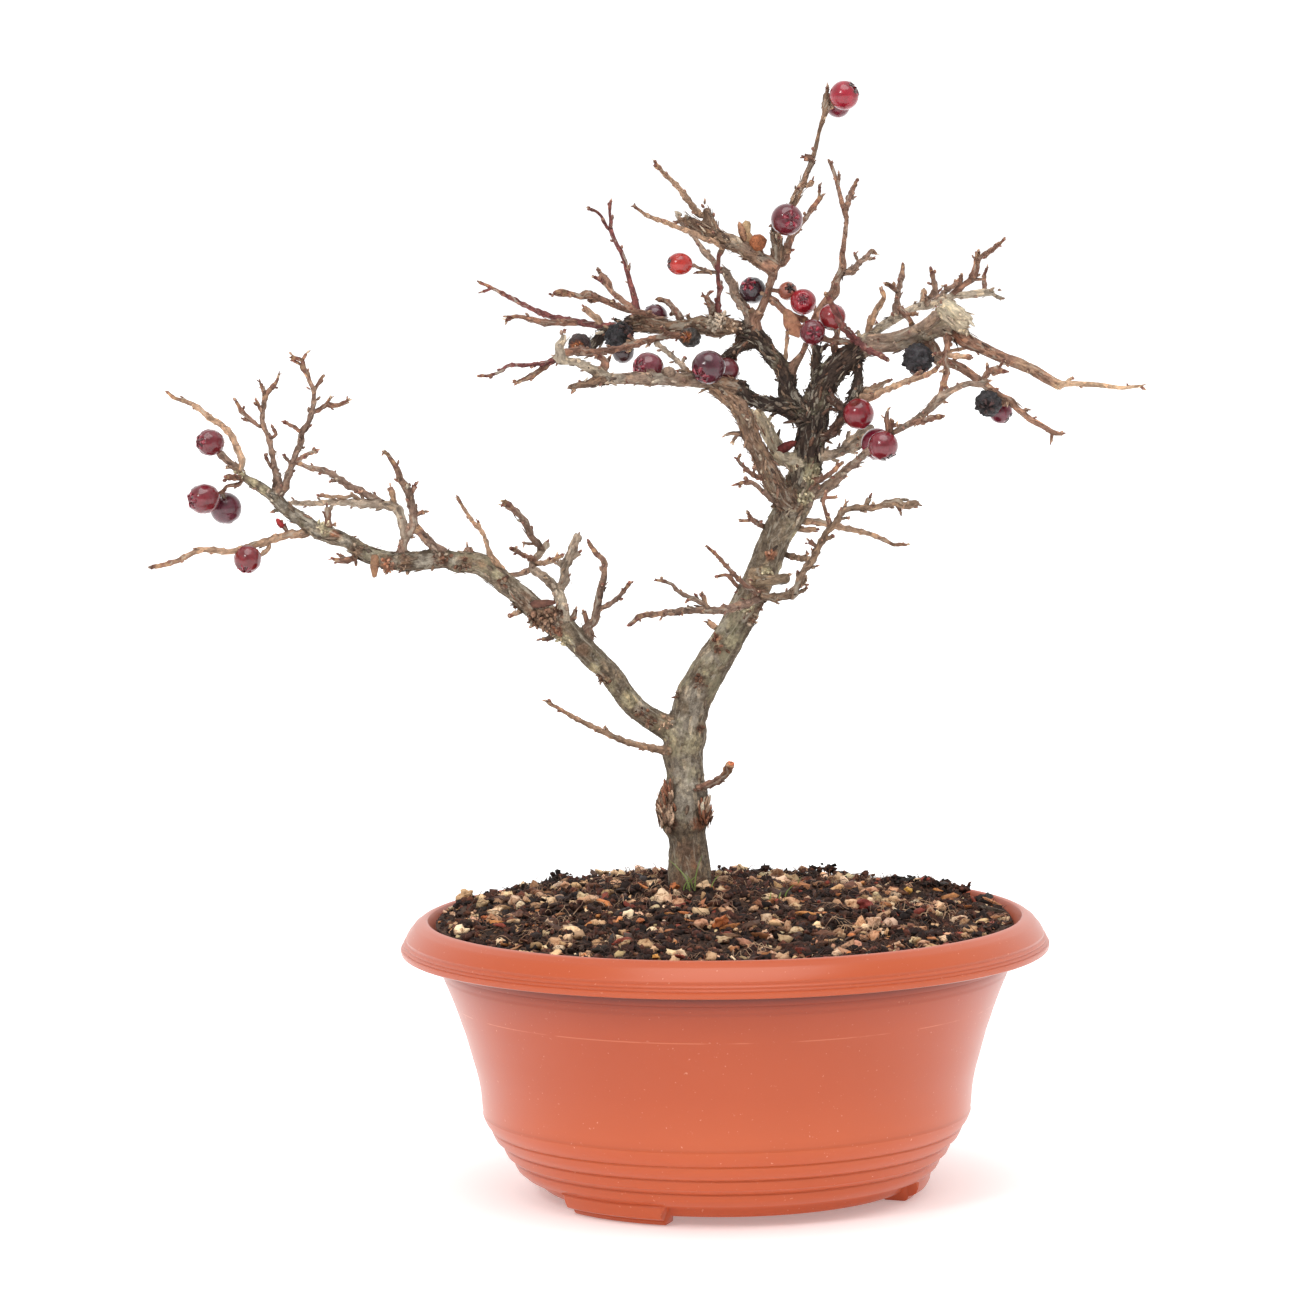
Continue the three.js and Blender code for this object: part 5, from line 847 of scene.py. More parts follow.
# Where a long branch changes its bark: the bark it starts with, then left, right, low, high, and the new one
ZONES = [
    ("dark", 46, 76, 268, 290, "grey"), ("dark", 76, 104, 255, 275, "brown"), ("dark", 104, 140, 250, 265, "tan"),
    ("dark", -34, -4, 255, 265, "grey"), ("dark", -4, 6, 255, 265, "flaky"), ("dark", -60, -34, 255, 265, "flaky"),
    ("dark", -26, 7, 276, 285, "flaky"), ("flaky", 11, 21, 270, 300, "brown"),
]
draw = random.Random(5)
lines, branches = {"": None}, []
ON_PARENT = 0.8
for row in BRANCHES.replace("\n ", " ").splitlines():
    if not row or row.startswith("#"):
        continue
    heading, text = row.split(":")
    name, parent, bark = (word.strip("-") for word in heading.split())
    rows = read_line(text)
    if lines[parent]:
        gap, near = root_on(lines[parent], rows[0][0], rows[0][1])
        if rows[0][3] is None:
            rows[0][3] = near[2]
        if math.hypot(gap, rows[0][3] - near[2]) > ON_PARENT:
            rows.insert(0, [near[0], near[1], rows[0][2], near[2]])
    fill_evenly(rows, 2)
    fill_evenly(rows, 3)
    if name:
        lines[name] = rows
    branches.append((rows, bark or draw.choice(["brown", "brown", "tan", "grey", "brown"])))


# A sample of the wood: its centre, radius, place along the branch, two square directions, bark, how far out it is
# on the branch from 0 to 1, and the branch's greatest radius
class Sample:
    def __init__(self, centre, radius, along, across, beside, bark, out, widest):
        self.centre, self.radius, self.along = centre, radius, along
        self.across, self.beside, self.ahead = across, beside, across.cross(beside)
        self.bark, self.out, self.widest = bark, out, widest


# Branches are limbs from this greatest radius on, knotty up to the next, and coloured as twigs up to the last
LIMB = 1.5
SLENDER = 1.7
THIN = 1.8
# The samples of each branch stand this far apart
STEP = 0.8

samples, joints, tips = [], [], []
thick_runs, thin_runs = [], []
for index, (rows, bark) in enumerate(branches):
    seed = index * 7.31
    run = smooth_run(rows, STEP)
    widest = max(radius for _, radius in run)
    length = sum((b[0] - a[0]).length for a, b in zip(run, run[1:]))
    marks = [draw.uniform(2.5, 5)]
    while marks[-1] < length - 1.5:
        marks.append(marks[-1] + draw.uniform(3, 6.5))
    along, across, passed, last = 0, Vector((0.31, 0.95, 0.05)), 0, None
    shaped = []
    for i, (spot, radius) in enumerate(run):
        if i:
            along += (spot - run[i - 1][0]).length
        ahead = (run[min(i + 1, len(run) - 1)][0] - run[max(i - 1, 0)][0]).normalized()
        across = square_to(ahead, across)
        beside = ahead.cross(across)
        if widest < SLENDER:
            near = min(abs(along - mark) for mark in marks)
            radius *= 0.98 + 0.34 * math.exp(-(near / 0.75) ** 2) + 0.13 * noise.noise(Vector((along * 0.5, seed, 0)))
        else:
            radius *= 1 + 0.05 * noise.noise(Vector((along * 0.2, seed, 0)))
        sway = 0.22 if widest < SLENDER else 0.15
        moved = spot + across * sway * noise.noise(Vector((along * 0.4, seed, 9)))
        moved += beside * sway * noise.noise(Vector((along * 0.4, seed, 17)))
        radius = max(0.3, radius)
        shaped.append((moved, radius))
        seen = seen_at(moved)
        kind = bark
        for old, left, right, low, high, new in ZONES:
            if bark == old and left < seen.x <= right and low < seen.z <= high:
                kind = new
        last = Sample(moved, radius, along + seed * 10, across.copy(), beside, kind, along / length, widest)
        samples.append(last)
        while passed < len(marks) and marks[passed] <= along:
            joints.append((last, passed, index))
            passed += 1
    if rows[-1][2] < 1.3:
        tips.append(last)
    shaped = [(at(*spot), radius) for spot, radius in shaped]
    if widest >= LIMB:
        end = max(i for i, (_, radius) in enumerate(shaped) if radius >= 1.0) + 1
        thick_runs.append(shaped[:end])
        if len(shaped) - end > 3:
            thin_runs.append(shaped[max(0, end - 4):])
    else:
        thin_runs.append(shaped)

finder, stout_finder = KDTree(len(samples)), KDTree(len(samples))
for index, sample in enumerate(samples):
    finder.insert(at(*sample.centre), index)
    if sample.radius > THIN:
        stout_finder.insert(at(*sample.centre), index)
finder.balance()
stout_finder.balance()


def nearest_sample(spot):
    """The sample whose surface lies nearest to a spot, so that a limb isn't taken for the twig beside it."""
    found = finder.find_n(spot, 3) + stout_finder.find_n(spot, 4)
    return samples[min(found, key=lambda one: one[2] - samples[one[1]].radius * MM)[1]]


# Marks on the wood, on the side that faces the viewer: x, z, how far they reach, colour, and how far they rise
MARKS = [
    (-20, 124.5, 4.5, "rust", 0.2), (-19.5, 119.8, 4.2, "rust", 0.2), (-17, 117.4, 3, "scar", 0.2),
    (-19.3, 128, 3, "tan", 0.2), (-5, 119.5, 3.8, "rust", 0.2), (-5, 123, 3.2, "tan", 0.2),
    (-8.5, 117.4, 2.6, "rust", 0.2), (-6.5, 116, 2.2, "rust", 0.2), (-10.5, 128.5, 6, "silver", 0),
    (-12.5, 122, 5, "silver", 0), (-11.5, 135, 6, "silver", 0), (-9.5, 103.4, 1.8, "rust", 0.2),
    (-12, 107, 6, "umber", 0), (-12, 97, 8, "umber", 0), (-11, 94, 4, "dark", 0), (-9.7, 143.4, 4.5, "lichen", 0),
    (-16.5, 146, 3.5, "lichen", 0.1), (-12.5, 149, 5, "silver", 0), (-9, 160, 4, "silver", 0),
    (-4, 172, 3, "silver", 0), (0, 182, 3.5, "silver", 0), (2.4, 136.4, 2.4, "orange", 0), (-26, 156, 3, "silver", 0),
    (-45, 174.5, 3, "umber", 0), (-63, 191, 4, "umber", 0), (-72, 199.5, 2.4, "lichen", 0.3),
    (-86, 203.6, 2.6, "silver", 0.1), (-93.5, 204.6, 2.4, "silver", 0.2), (-105, 204, 2, "silver", 0.2),
    (-121.5, 210.8, 2.6, "silver", 0.1), (-124.5, 213.2, 2.2, "rust", 0.3), (-130.5, 214.8, 2.4, "silver", 0.3),
    (-137.5, 219.5, 2.4, "silver", 0.2), (-147, 228, 2, "lichen", 0.2), (-18.1, 151.3, 3, "tan", 0.5),
    (-23.3, 150.6, 2.6, "scar", 0.7), (-26.5, 154, 2.2, "scar", 0.5), (-29.9, 158.3, 4, "lichen", 0.2),
    (-38.4, 164.8, 3, "scar", 0.6), (-36.5, 163, 3.2, "lichen", 0.3), (-41, 168.5, 2.5, "lichen", 0.3),
    (-51.2, 177.5, 3.6, "lichen", 0.5), (-56.8, 184.4, 4.6, "umber", 1.3), (-52.5, 187, 3, "scar", 1),
    (-60.5, 184, 3, "scar", 0.8), (-53.5, 181, 2.6, "rust", 0.8), (-60, 187, 3, "umber", 1),
    (-67.6, 187.6, 2.8, "scar", 1), (-70.5, 197, 2, "scar", 0.5), (-78.1, 202.4, 2.6, "umber", 0.4),
    (-82.6, 203.5, 3, "scar", 0.9), (-90.7, 204.4, 3.4, "scar", 0.8), (-97, 204.2, 3, "silver", 0.4),
    (-102.3, 203.6, 3.4, "umber", 0.9), (-107.7, 203, 3, "rust", 0.6), (-112, 206, 2.4, "silver", 0.2),
    (-118, 207.2, 2.8, "umber", 0.7), (-127.7, 215.3, 2.8, "lichen", 0.5), (-133, 217, 2.2, "silver", 0.4),
    (-141.5, 222.9, 2.6, "silver", 0.4), (-145, 226, 2.2, "silver", 0.5), (-155.2, 232.8, 2.4, "lichen", 0.5),
    (-151, 230.5, 2, "lichen", 0.4), (-103.2, 218.2, 2.6, "silver", 0), (-6.7, 148.2, 1.8, "scar", 0.5),
    (-8, 155, 3.5, "silver", 0), (-14.5, 159.9, 2, "scar", 0.6), (-1.2, 178, 2, "rust", 0.5),
    (-0.7, 174, 2.3, "scar", 0.9), (-1.3, 170.7, 1.3, "silver", 0.3), (-7.1, 163.3, 2.8, "scar", 0.8),
    (-5, 166.5, 1.5, "lichen", 0.4), (3.5, 177, 3, "lichen", 0), (10.2, 184.9, 3.4, "umber", 0.7),
    (8, 187.5, 2, "lichen", 0.5), (13, 187.5, 2, "scar", 0.6), (16.6, 204.7, 2.2, "rust", 0.7),
    (19.5, 199.5, 3, "lichen", 0.4), (14.9, 199.5, 2, "lichen", 0.5), (24, 211, 2.6, "lichen", 0.3),
    (28, 223.2, 3, "lichen", 0.5), (22.5, 219, 3, "silver", 0.2), (30.8, 231.1, 3.4, "lichen", 0.6),
    (25.5, 229, 3, "dark", 0), (0.1, 280.4, 4, "pale", 0.9), (4.5, 278.8, 2.8, "tan", 0.7),
    (-4.5, 279.5, 3, "pale", 0.3), (-12, 279, 3, "flaky", 0.4), (-26, 281, 3.5, "flaky", 0.6),
    (15.2, 301.5, 2.5, "silver", 0.4), (16.5, 305, 2.4, "silver", 0.2), (5.7, 306, 3, "pale", 0.4),
    (9.5, 304, 2.4, "grey", 0.3), (-1.5, 309.6, 2.4, "flaky", 0.4), (-19.3, 262.6, 4, "silver", 0),
    (-27, 262.8, 3.6, "grey", 0.2), (-32.1, 262.7, 3.4, "silver", 0), (-10.5, 262, 3, "flaky", 0.3),
    (-40, 262, 3.5, "umber", 0.2), (52, 272.5, 4, "grey", 0.2), (60, 273.5, 3.5, "silver", 0.2),
    (65.4, 275.8, 3, "pale", 0.5), (77.3, 274, 2.6, "rust", 0.4), (84, 271.5, 5, "brown", 0), (92, 268, 5, "brown", 0),
    (99, 264.8, 5, "tan", 0), (106, 261, 5, "brown", 0), (112, 259, 5, "tan", 0.2), (120, 258.5, 6, "tan", 0),
    (130, 257.5, 7, "brown", 0), (74, 280, 4, "cut", 0), (71, 268, 3.5, "grey", 0), (77, 265.5, 4, "brown", 0),
    (84, 261, 5, "brown", 0), (92, 254.8, 5, "brown", 0), (100, 248, 5, "brown", 0), (108, 243.5, 5, "red", 0),
]


def on_wood(x, z, least):
    """The point on the front of the wood that lies nearest to x, z in the view, on branches stouter than least."""
    best, gap = None, 1e9
    for sample in samples:
        if sample.widest > least:
            seen = seen_at(sample.centre)
            off = math.hypot(seen.x - x, seen.z - z) - sample.radius
            if off < gap:
                best, gap = (sample, seen), off
    sample, seen = best
    aside = min(sample.radius, math.hypot(seen.x - x, seen.z - z))
    return place(x, z, sample.centre.y - LAYOUT - math.sqrt(sample.radius ** 2 - aside ** 2))


scars = [(on_wood(x, z, SLENDER), reach, Vector(BARK[colour]), rise) for x, z, reach, colour, rise in MARKS]
scar_finder = KDTree(len(scars))
for index, scar in enumerate(scars):
    scar_finder.insert(scar[0], index)
scar_finder.balance()
FARTHEST_SCAR = 8


# Right of this the old bark turns dark and rugged towards the crown: its scraps first, then relief, then colour
STEM_LEFT = 8
SCRAPS_START, RELIEF_START, COLOUR_START = 210, 214, 222
CHANGE_OVER = 14


def crown_share(sample, start):
    """How far old bark has changed in the crown, from 0 at the start height to 1 above it."""
    if sample.bark != "bark" or sample.centre.x <= STEM_LEFT:
        return 0
    return within((sample.centre.z - start) / CHANGE_OVER)


def bark_colour(sample):
    """The colour of the wood at a sample; slender shoots are browner, and their tips lighter and redder by turns."""
    colour = Vector(BARK[sample.bark])
    if sample.widest < THIN and sample.bark != "red":
        colour = colour.lerp(Vector((0.21, 0.10, 0.075)), 0.32)
    colour = colour.lerp(Vector(BARK["dark"]), crown_share(sample, COLOUR_START))
    if sample.bark in ("brown", "red", "grey", "tan") and sample.widest < THIN and sample.out > 0.7:
        tip = Vector((0.42, 0.25, 0.14)) if sample.along % 3 < 1.4 else Vector((0.19, 0.06, 0.045))
        colour = colour.lerp(tip, (sample.out - 0.7) * 2.6)
    swing = noise.noise(Vector((sample.along * 0.09, 3.3, 0)))
    return colour * (1 + 0.45 * swing)


def dress_in_bark(mesh, relief):
    """Gives each point its bark colour and its place along the branch, and raises fissures, knots and plates."""
    grains, girths, evens, tints, moved = [], [], [], [], []
    for vert in mesh.vertices:
        sample = nearest_sample(vert.co)
        here = (vert.co - AXIS) / MM
        off = here - sample.centre
        along, u, v = sample.along, off.dot(sample.across), off.dot(sample.beside)
        grains.extend(Vector((along + off.dot(sample.ahead), u, v)) * MM)
        girths.append(min(1, sample.radius / 6))
        aged = sample.bark == "bark" and (sample.centre.x < STEM_LEFT or sample.centre.z < COLOUR_START)
        evens.append(0.8 if aged else 0.35 if sample.bark in ("red", "tan", "grey", "silver") else 0)
        colour = bark_colour(sample)
        if not relief:
            tints.append(tuple(colour))
            moved.append(0.15 * min(1, sample.radius) * noise.noise(Vector((along * 1.4, u * 1.8, v * 1.8))) * MM)
            continue
        size = min(1, sample.radius / 4)
        rugged = RUGGED.get(sample.bark, (0.3, 0))[0] + 0.75 * crown_share(sample, RELIEF_START)
        if sample.bark == "bark" and sample.centre.x < -60:
            rugged = 0.35
        ridge = 1 - abs(noise.noise(Vector((along * 0.13, u * 0.8, v * 0.8))))
        plates = noise.noise(Vector((along * 0.4, u * 1.3, v * 1.3)))
        lift = rugged * size * (1.5 * (ridge ** 3 - 0.6) + 0.6 * plates)
        lift += 0.14 * size * noise.noise(Vector((along * 0.8, u * 1.1, v * 1.1)))
        for _, index, distance in scar_finder.find_range(here, FARTHEST_SCAR):
            spot, reach, stain, rise = scars[index]
            gap = distance / reach + 0.35 * noise.noise(here * 0.9)
            if gap < 1:
                cover = min(1, (1 - gap) * 2.2)
                colour = colour.lerp(stain, (0.55 if stain.x > 0.4 else 0.85) * cover)
                lift += rise * min(1, (1 - gap) * 1.5) * (0.35 + 0.9 * noise.noise(here * 1.1))
        tints.append(tuple(colour))
        moved.append(lift * MM)
    mesh.attributes.new("grain", "FLOAT_VECTOR", "POINT").data.foreach_set("vector", grains)
    mesh.attributes.new("girth", "FLOAT", "POINT").data.foreach_set("value", girths)
    mesh.attributes.new("smooth_bark", "FLOAT", "POINT").data.foreach_set("value", evens)
    tinted(mesh, tints)
    normals = [vert.normal.copy() for vert in mesh.vertices]
    for vert, normal, lift in zip(mesh.vertices, normals, moved):
        vert.co += normal * lift
    mesh.update()


def fused(mesh, voxel):
    """Melts the strands that cross into one skin and smooths it a little."""
    holder = bpy.data.objects.new("holder", mesh)
    bpy.context.scene.collection.objects.link(holder)
    melt = holder.modifiers.new("melt", "REMESH")
    melt.mode = "VOXEL"
    melt.voxel_size = voxel
    soften = holder.modifiers.new("soften", "SMOOTH")
    soften.factor = 0.5
    soften.iterations = 3
    done = bpy.data.meshes.new_from_object(holder.evaluated_get(bpy.context.evaluated_depsgraph_get()))
    bpy.data.objects.remove(holder)
    shade_smooth(done)
    return done


FINEST_DETAIL = 0.00062
limb_mesh = fused(strands("limbs", thick_runs, 3), FINEST_DETAIL)
dress_in_bark(limb_mesh, True)
twig_mesh = strands("twigs", thin_runs, 2)
dress_in_bark(twig_mesh, False)


def along_grain(tree, scale):
    """Coordinates that run along the branch, so that noise on them is drawn out into streaks."""
    return node(tree, "Mapping", {"Vector": layer_of(tree, "grain", "Vector"), "Scale": scale})


bark_finish, tree, shader = nodes_of("bark", 0.82, Specular_IOR_Level=0.3)
fissures = cloud(tree, 1, 8, along_grain(tree, (330, 1000, 1000)), Roughness=0.72, Distortion=0.5)
light = ramp(tree, [(0.30, (0.22, 0.19, 0.17)), (0.42, (0.70, 0.66, 0.62)), (0.55, (1.08, 1.06, 1.03)),
                    (0.72, (1.7, 1.66, 1.58))], fissures)
# Even speckles take the fissures' place where the bark is smooth
speckle = ramp(tree, [(0.36, (0.28, 0.24, 0.20)), (0.46, (0.74, 0.71, 0.68)), (0.55, (1.12, 1.10, 1.08)),
                      (0.64, (1.9, 1.85, 1.75))], cloud(tree, 700, 8, Roughness=0.75))
evened = laid_over(tree, layer_of(tree, "smooth_bark", "Fac"), light, speckle)
base = times(tree, layer_of(tree, "tint"), evened)
# Small scales of bark, each a little lighter or darker than the next
cells = node(tree, "TexVoronoi", {"Scale": 1, "Vector": along_grain(tree, (420, 800, 800))})
split = node(tree, "SeparateColor", {"Color": (cells, "Color")})
scales = ramp(tree, [
    (0, (0.62, 0.60, 0.58)), (0.5, (1, 1, 1)), (0.85, (1.2, 1.17, 1.1)), (1, (1.6, 1.5, 1.35)),
], split)
scaly = times(tree, base, scales)
# Whitish peeling skin in streaks along the wood
streak = cloud(tree, 1, 5, along_grain(tree, (150, 520, 520)), Roughness=0.65, Distortion=0.8)
peeling = ramp(tree, [
    (0, (0, 0, 0)), (0.55, (0, 0, 0)), (0.63, (0.55, 0.55, 0.55)), (0.8, (0.85, 0.85, 0.85)),
], streak)
silver = laid_over(tree, peeling, scaly, (0.50, 0.44, 0.35, 1))
# Yellow-green lichen in soft patches on the older wood
patch = cloud(tree, 85, 7, Roughness=0.75)
lichen = ramp(tree, [(0, (0, 0, 0)), (0.54, (0, 0, 0)), (0.62, (0.5, 0.5, 0.5)), (0.8, (0.8, 0.8, 0.8))], patch)
girth = layer_of(tree, "girth", "Fac")
stout_share = node(tree, "MapRange", {"Value": girth, "From Min": 0.15, "From Max": 0.7, "To Max": 0.7})
mossy = laid_over(tree, product(tree, lichen, stout_share), silver, (0.46, 0.42, 0.26, 1))
join(tree, mossy, shader, "Base Color")
deep = bump(tree, shader, fissures, 0.9, 0.0011)
bump(tree, shader, cloud(tree, 2600, 3), 0.35, 0.0003, deep)
new_piece("limbs", limb_mesh, ["tree"], bark_finish)
new_piece("twigs", twig_mesh, ["tree"], bark_finish)


# Bark scraps, buds and spurs: peeling flakes on the old wood, and buds, short spurs and dry bud scales at the
# joints and tips of the twigs. Each is a small closed scrap, flattened, bent and set on the wood.
def scrap(root, ahead, out, sizes, lift, colour):
    """One scrap, its sizes being length, half width and half thickness; its tip ends lift above its root."""
    length, width, thick = sizes
    shape, layer = room(parts)
    side = ahead.cross(out)
    around = 4 if thick < width * 0.7 else 6
    made = bmesh.ops.create_uvsphere(shape, u_segments=around, v_segments=4, radius=1)["verts"]
    for vert in made:
        t = (vert.co.z + 1) / 2
        bow = 1 + 0.5 * (1 - t)
        spot = root + ahead * (length * t) + out * (lift * t * t + vert.co.y * thick)
        vert.co = at(*(spot + side * (vert.co.x * width * bow)))
        vert[layer] = (*(colour * (0.8 + 0.4 * t)), 1)


def leaning(sample, turn):
    """A direction square to the branch, turned so far round it."""
    return sample.across * math.cos(turn) + sample.beside * math.sin(turn)


def shades(*rows):
    return [Vector(row) for row in rows]


FLAKE_SHADES = shades((0.50, 0.42, 0.32), (0.30, 0.20, 0.13), (0.24, 0.12, 0.075), (0.05, 0.03, 0.024))
BUD_SHADES = shades((0.26, 0.11, 0.08), (0.17, 0.07, 0.055), (0.36, 0.22, 0.15), (0.22, 0.14, 0.10))
SCALE_SHADES = shades((0.45, 0.28, 0.19), (0.30, 0.16, 0.11), (0.54, 0.40, 0.27), (0.19, 0.09, 0.065))
# Scraps lie on wood from this radius on and from this height up
SCRAPS_FROM = 1.25
ABOVE_SOIL = 98
draw = random.Random(77)
parts = []
for sample in samples:
    if sample.radius < SCRAPS_FROM or sample.centre.z < ABOVE_SOIL:
        continue
    rugged, density = RUGGED.get(sample.bark, (0.3, 2))
    density += 15 * crown_share(sample, SCRAPS_START)
    if sample.bark == "bark" and sample.centre.x < -62:
        density = 9
    expected = density / 100 * math.tau * sample.radius * STEP
    for _ in range(int(expected + draw.random())):
        turn = draw.random() * math.tau
        out = leaning(sample, turn)
        sideways = sample.ahead.cross(out)
        ahead = (sample.ahead * draw.choice((1, 1, -1)) + sideways * draw.gauss(0, 0.35)).normalized()
        root = sample.centre + out * sample.radius * 0.97 + sample.ahead * draw.uniform(-0.5, 0.5)
        pick = draw.random() ** (2.6 if sample.bark in ("dark", "bark") else 1.2)
        colour = bark_colour(sample).lerp(draw.choice(FLAKE_SHADES), 0.15 + 0.8 * pick)
        length = draw.uniform(1, 4.2) * (0.7 + 0.5 * min(1, sample.radius / 4))
        scrap(root, ahead, out, (length, draw.uniform(0.18, 0.6), 0.12), draw.uniform(0.1, 1.5) * rugged + 0.1,
              colour * draw.uniform(0.7, 1.3))
# Rough rosettes on the scars that stand out, coarser on the wide ones
STANDS_OUT = 0.45
WIDE_SCAR = 4
for spot, reach, stain, rise in scars:
    if rise < STANDS_OUT:
        continue
    stout = min(samples, key=lambda one: (one.centre - spot).length - one.radius if one.widest > SLENDER else 1e9)
    coarse, crowded = (1.7, 2.2) if reach >= WIDE_SCAR else (1, 1.6)
    for _ in range(int(reach * reach * crowded)):
        start = spot + jolt(draw, 0.4, 0.25, 0.4) * reach
        out = square_to(stout.ahead, start - stout.centre)
        root = start - out * ((start - stout.centre).dot(out) - stout.radius * 0.96)
        along, aside = draw.uniform(-1, 1), draw.gauss(0, 0.8)
        ahead = (stout.ahead * along + stout.ahead.cross(out) * aside + out * 0.5).normalized()
        colour = stain.lerp(draw.choice(FLAKE_SHADES), draw.uniform(0, 0.7)) * draw.uniform(0.6, 1.5)
        length, wide = draw.uniform(0.9, 2.4) * coarse ** 0.4, draw.uniform(0.25, 0.6) * coarse
        scrap(root, ahead, square_to(ahead, out), (length, wide, 0.16 * coarse ** 2),
              draw.uniform(0, 0.6) * coarse, colour)
# The graft's cork: strips of corky bark pressed on both sides of the swelling, their upper ends curling out.
# Each row: x z, how wide and how tall the strips are strewn, how many, and their colours
GRAFT_X, GRAFT_Z = -12.4, 121
GRAFT_RADIUS = 8.6
for x, z, wide, tall, count, words in [
    (-19.6, 120.5, 2.6, 4.4, 130, ("umber", "rust", "umber", "tan")),
    (-18.6, 127.5, 1.6, 1.8, 34, ("tan", "umber", "rust")),
    (-4.6, 119.8, 2.0, 2.4, 80, ("rust", "scar", "tan")),
    (-5.4, 123.2, 1.6, 1.2, 26, ("tan", "cut", "rust")),
]:
    for _ in range(count):
        seen = Vector((x + draw.gauss(0, 0.5) * wide, LAYOUT, z + draw.gauss(0, 0.5) * tall))
        side = max(-0.98, min(0.98, (seen.x - GRAFT_X) / GRAFT_RADIUS))
        out = Vector((side, -math.sqrt(1 - side * side), 0))
        reach = 8.5 - 0.10 * abs(seen.z - GRAFT_Z) + draw.uniform(-0.3, 0.5)
        root = Vector((GRAFT_X, LAYOUT, seen.z - 1)) + out * reach
        ahead = Vector((draw.gauss(0, 0.16), draw.gauss(0, 0.1), 1)).normalized()
        scrap(root, ahead, out, (draw.uniform(2.4, 5.5), draw.uniform(0.35, 1), 0.16), draw.uniform(0, 0.7),
              Vector(BARK[draw.choice(words)]) * draw.uniform(0.7, 1.1))


def tuft(root, ahead, count, length, spread):
    """A short spray of bud and dry scales that opens forward"""
    for _ in range(count):
        aim = (ahead + jolt(draw, spread, spread, spread)).normalized()
        out = aim.orthogonal().normalized()
        if draw.random() < 0.35:
            wide = draw.uniform(0.3, 0.5)
            scrap(root - aim * 0.3, aim, out, (length * draw.uniform(0.6, 1), wide, wide), 0, draw.choice(BUD_SHADES))
        else:
            scrap(root - aim * 0.3, aim, out, (length * draw.uniform(0.6, 1.3), draw.uniform(0.25, 0.5), 0.12),
                  draw.uniform(-0.3, 0.8), draw.choice(SCALE_SHADES) * draw.uniform(0.8, 1.3))


CUP_TWIG = (2.4, 136)
BARE_ROUND_CUP = 6


def near_cup(sample):
    """Whether a sample is close to the end of the short twig that bears an orange cup, which stays bare."""
    return math.hypot(sample.centre.x - CUP_TWIG[0], sample.centre.z - CUP_TWIG[1]) < BARE_ROUND_CUP


# A bud, a short spur or a tuft at each joint of the thinner wood above the graft, fewer on smooth young shoots
STOUTEST_WITH_BUDS = 2.6
LOWEST_BUD = 118
spurs = []
for sample, count, index in joints:
    if sample.radius > STOUTEST_WITH_BUDS or sample.centre.z < LOWEST_BUD or near_cup(sample):
        continue
    turn = index * 1.9 + (math.pi if count % 2 else 0) + draw.gauss(0, 0.45)
    out = leaning(sample, turn)
    ahead = (sample.ahead * 0.8 + out * draw.uniform(0.5, 1.2)).normalized()
    root = sample.centre + out * sample.radius * 0.8
    chance = draw.random()
    smooth = sample.bark in ("red", "tan") and sample.widest < LIMB
    if smooth:
        if draw.random() < 0.35:
            continue
        chance *= 0.64
        ahead = (sample.ahead * 1.6 + out * 0.5).normalized()
    if chance < 0.6:
        wide = draw.uniform(0.32, 0.55)
        scrap(root, ahead, square_to(ahead, out), (draw.uniform(1.1, 2.1), wide, wide * 0.9), -0.2,
              bark_colour(sample).lerp(draw.choice(BUD_SHADES), 0.6))
        if draw.random() < 0.6 and not smooth:
            scrap(root, (ahead + out * 0.6).normalized(), ahead, (draw.uniform(0.8, 1.5), 0.35, 0.12), 0.2,
                  draw.choice(SCALE_SHADES))
    elif chance < 0.9 or sample.radius > 1.3:
        long = draw.uniform(1.3, 3.6)
        thick = draw.uniform(0.5, 0.75)
        bend = Vector((draw.gauss(0, 0.25), draw.gauss(0, 0.25), draw.gauss(0.1, 0.25)))
        start = sample.centre + out * sample.radius * 0.5
        steps = [start + ahead * long * t + bend * t * t for t in (0, 0.35, 0.6, 0.8, 1)]
        spurs.append([(at(*step), thick * swell) for step, swell in zip(steps, (1.0, 0.85, 1.15, 0.9, 1.1))])
        tuft(steps[-1], (steps[-1] - steps[-2]).normalized(), draw.randint(2, 5), 1.7, 0.55)
    else:
        tuft(root, ahead, 3, 1.5, 0.6)
for sample in tips:
    if not near_cup(sample):
        tuft(sample.centre, sample.ahead, draw.randint(2, 3), 1.8, 0.22)
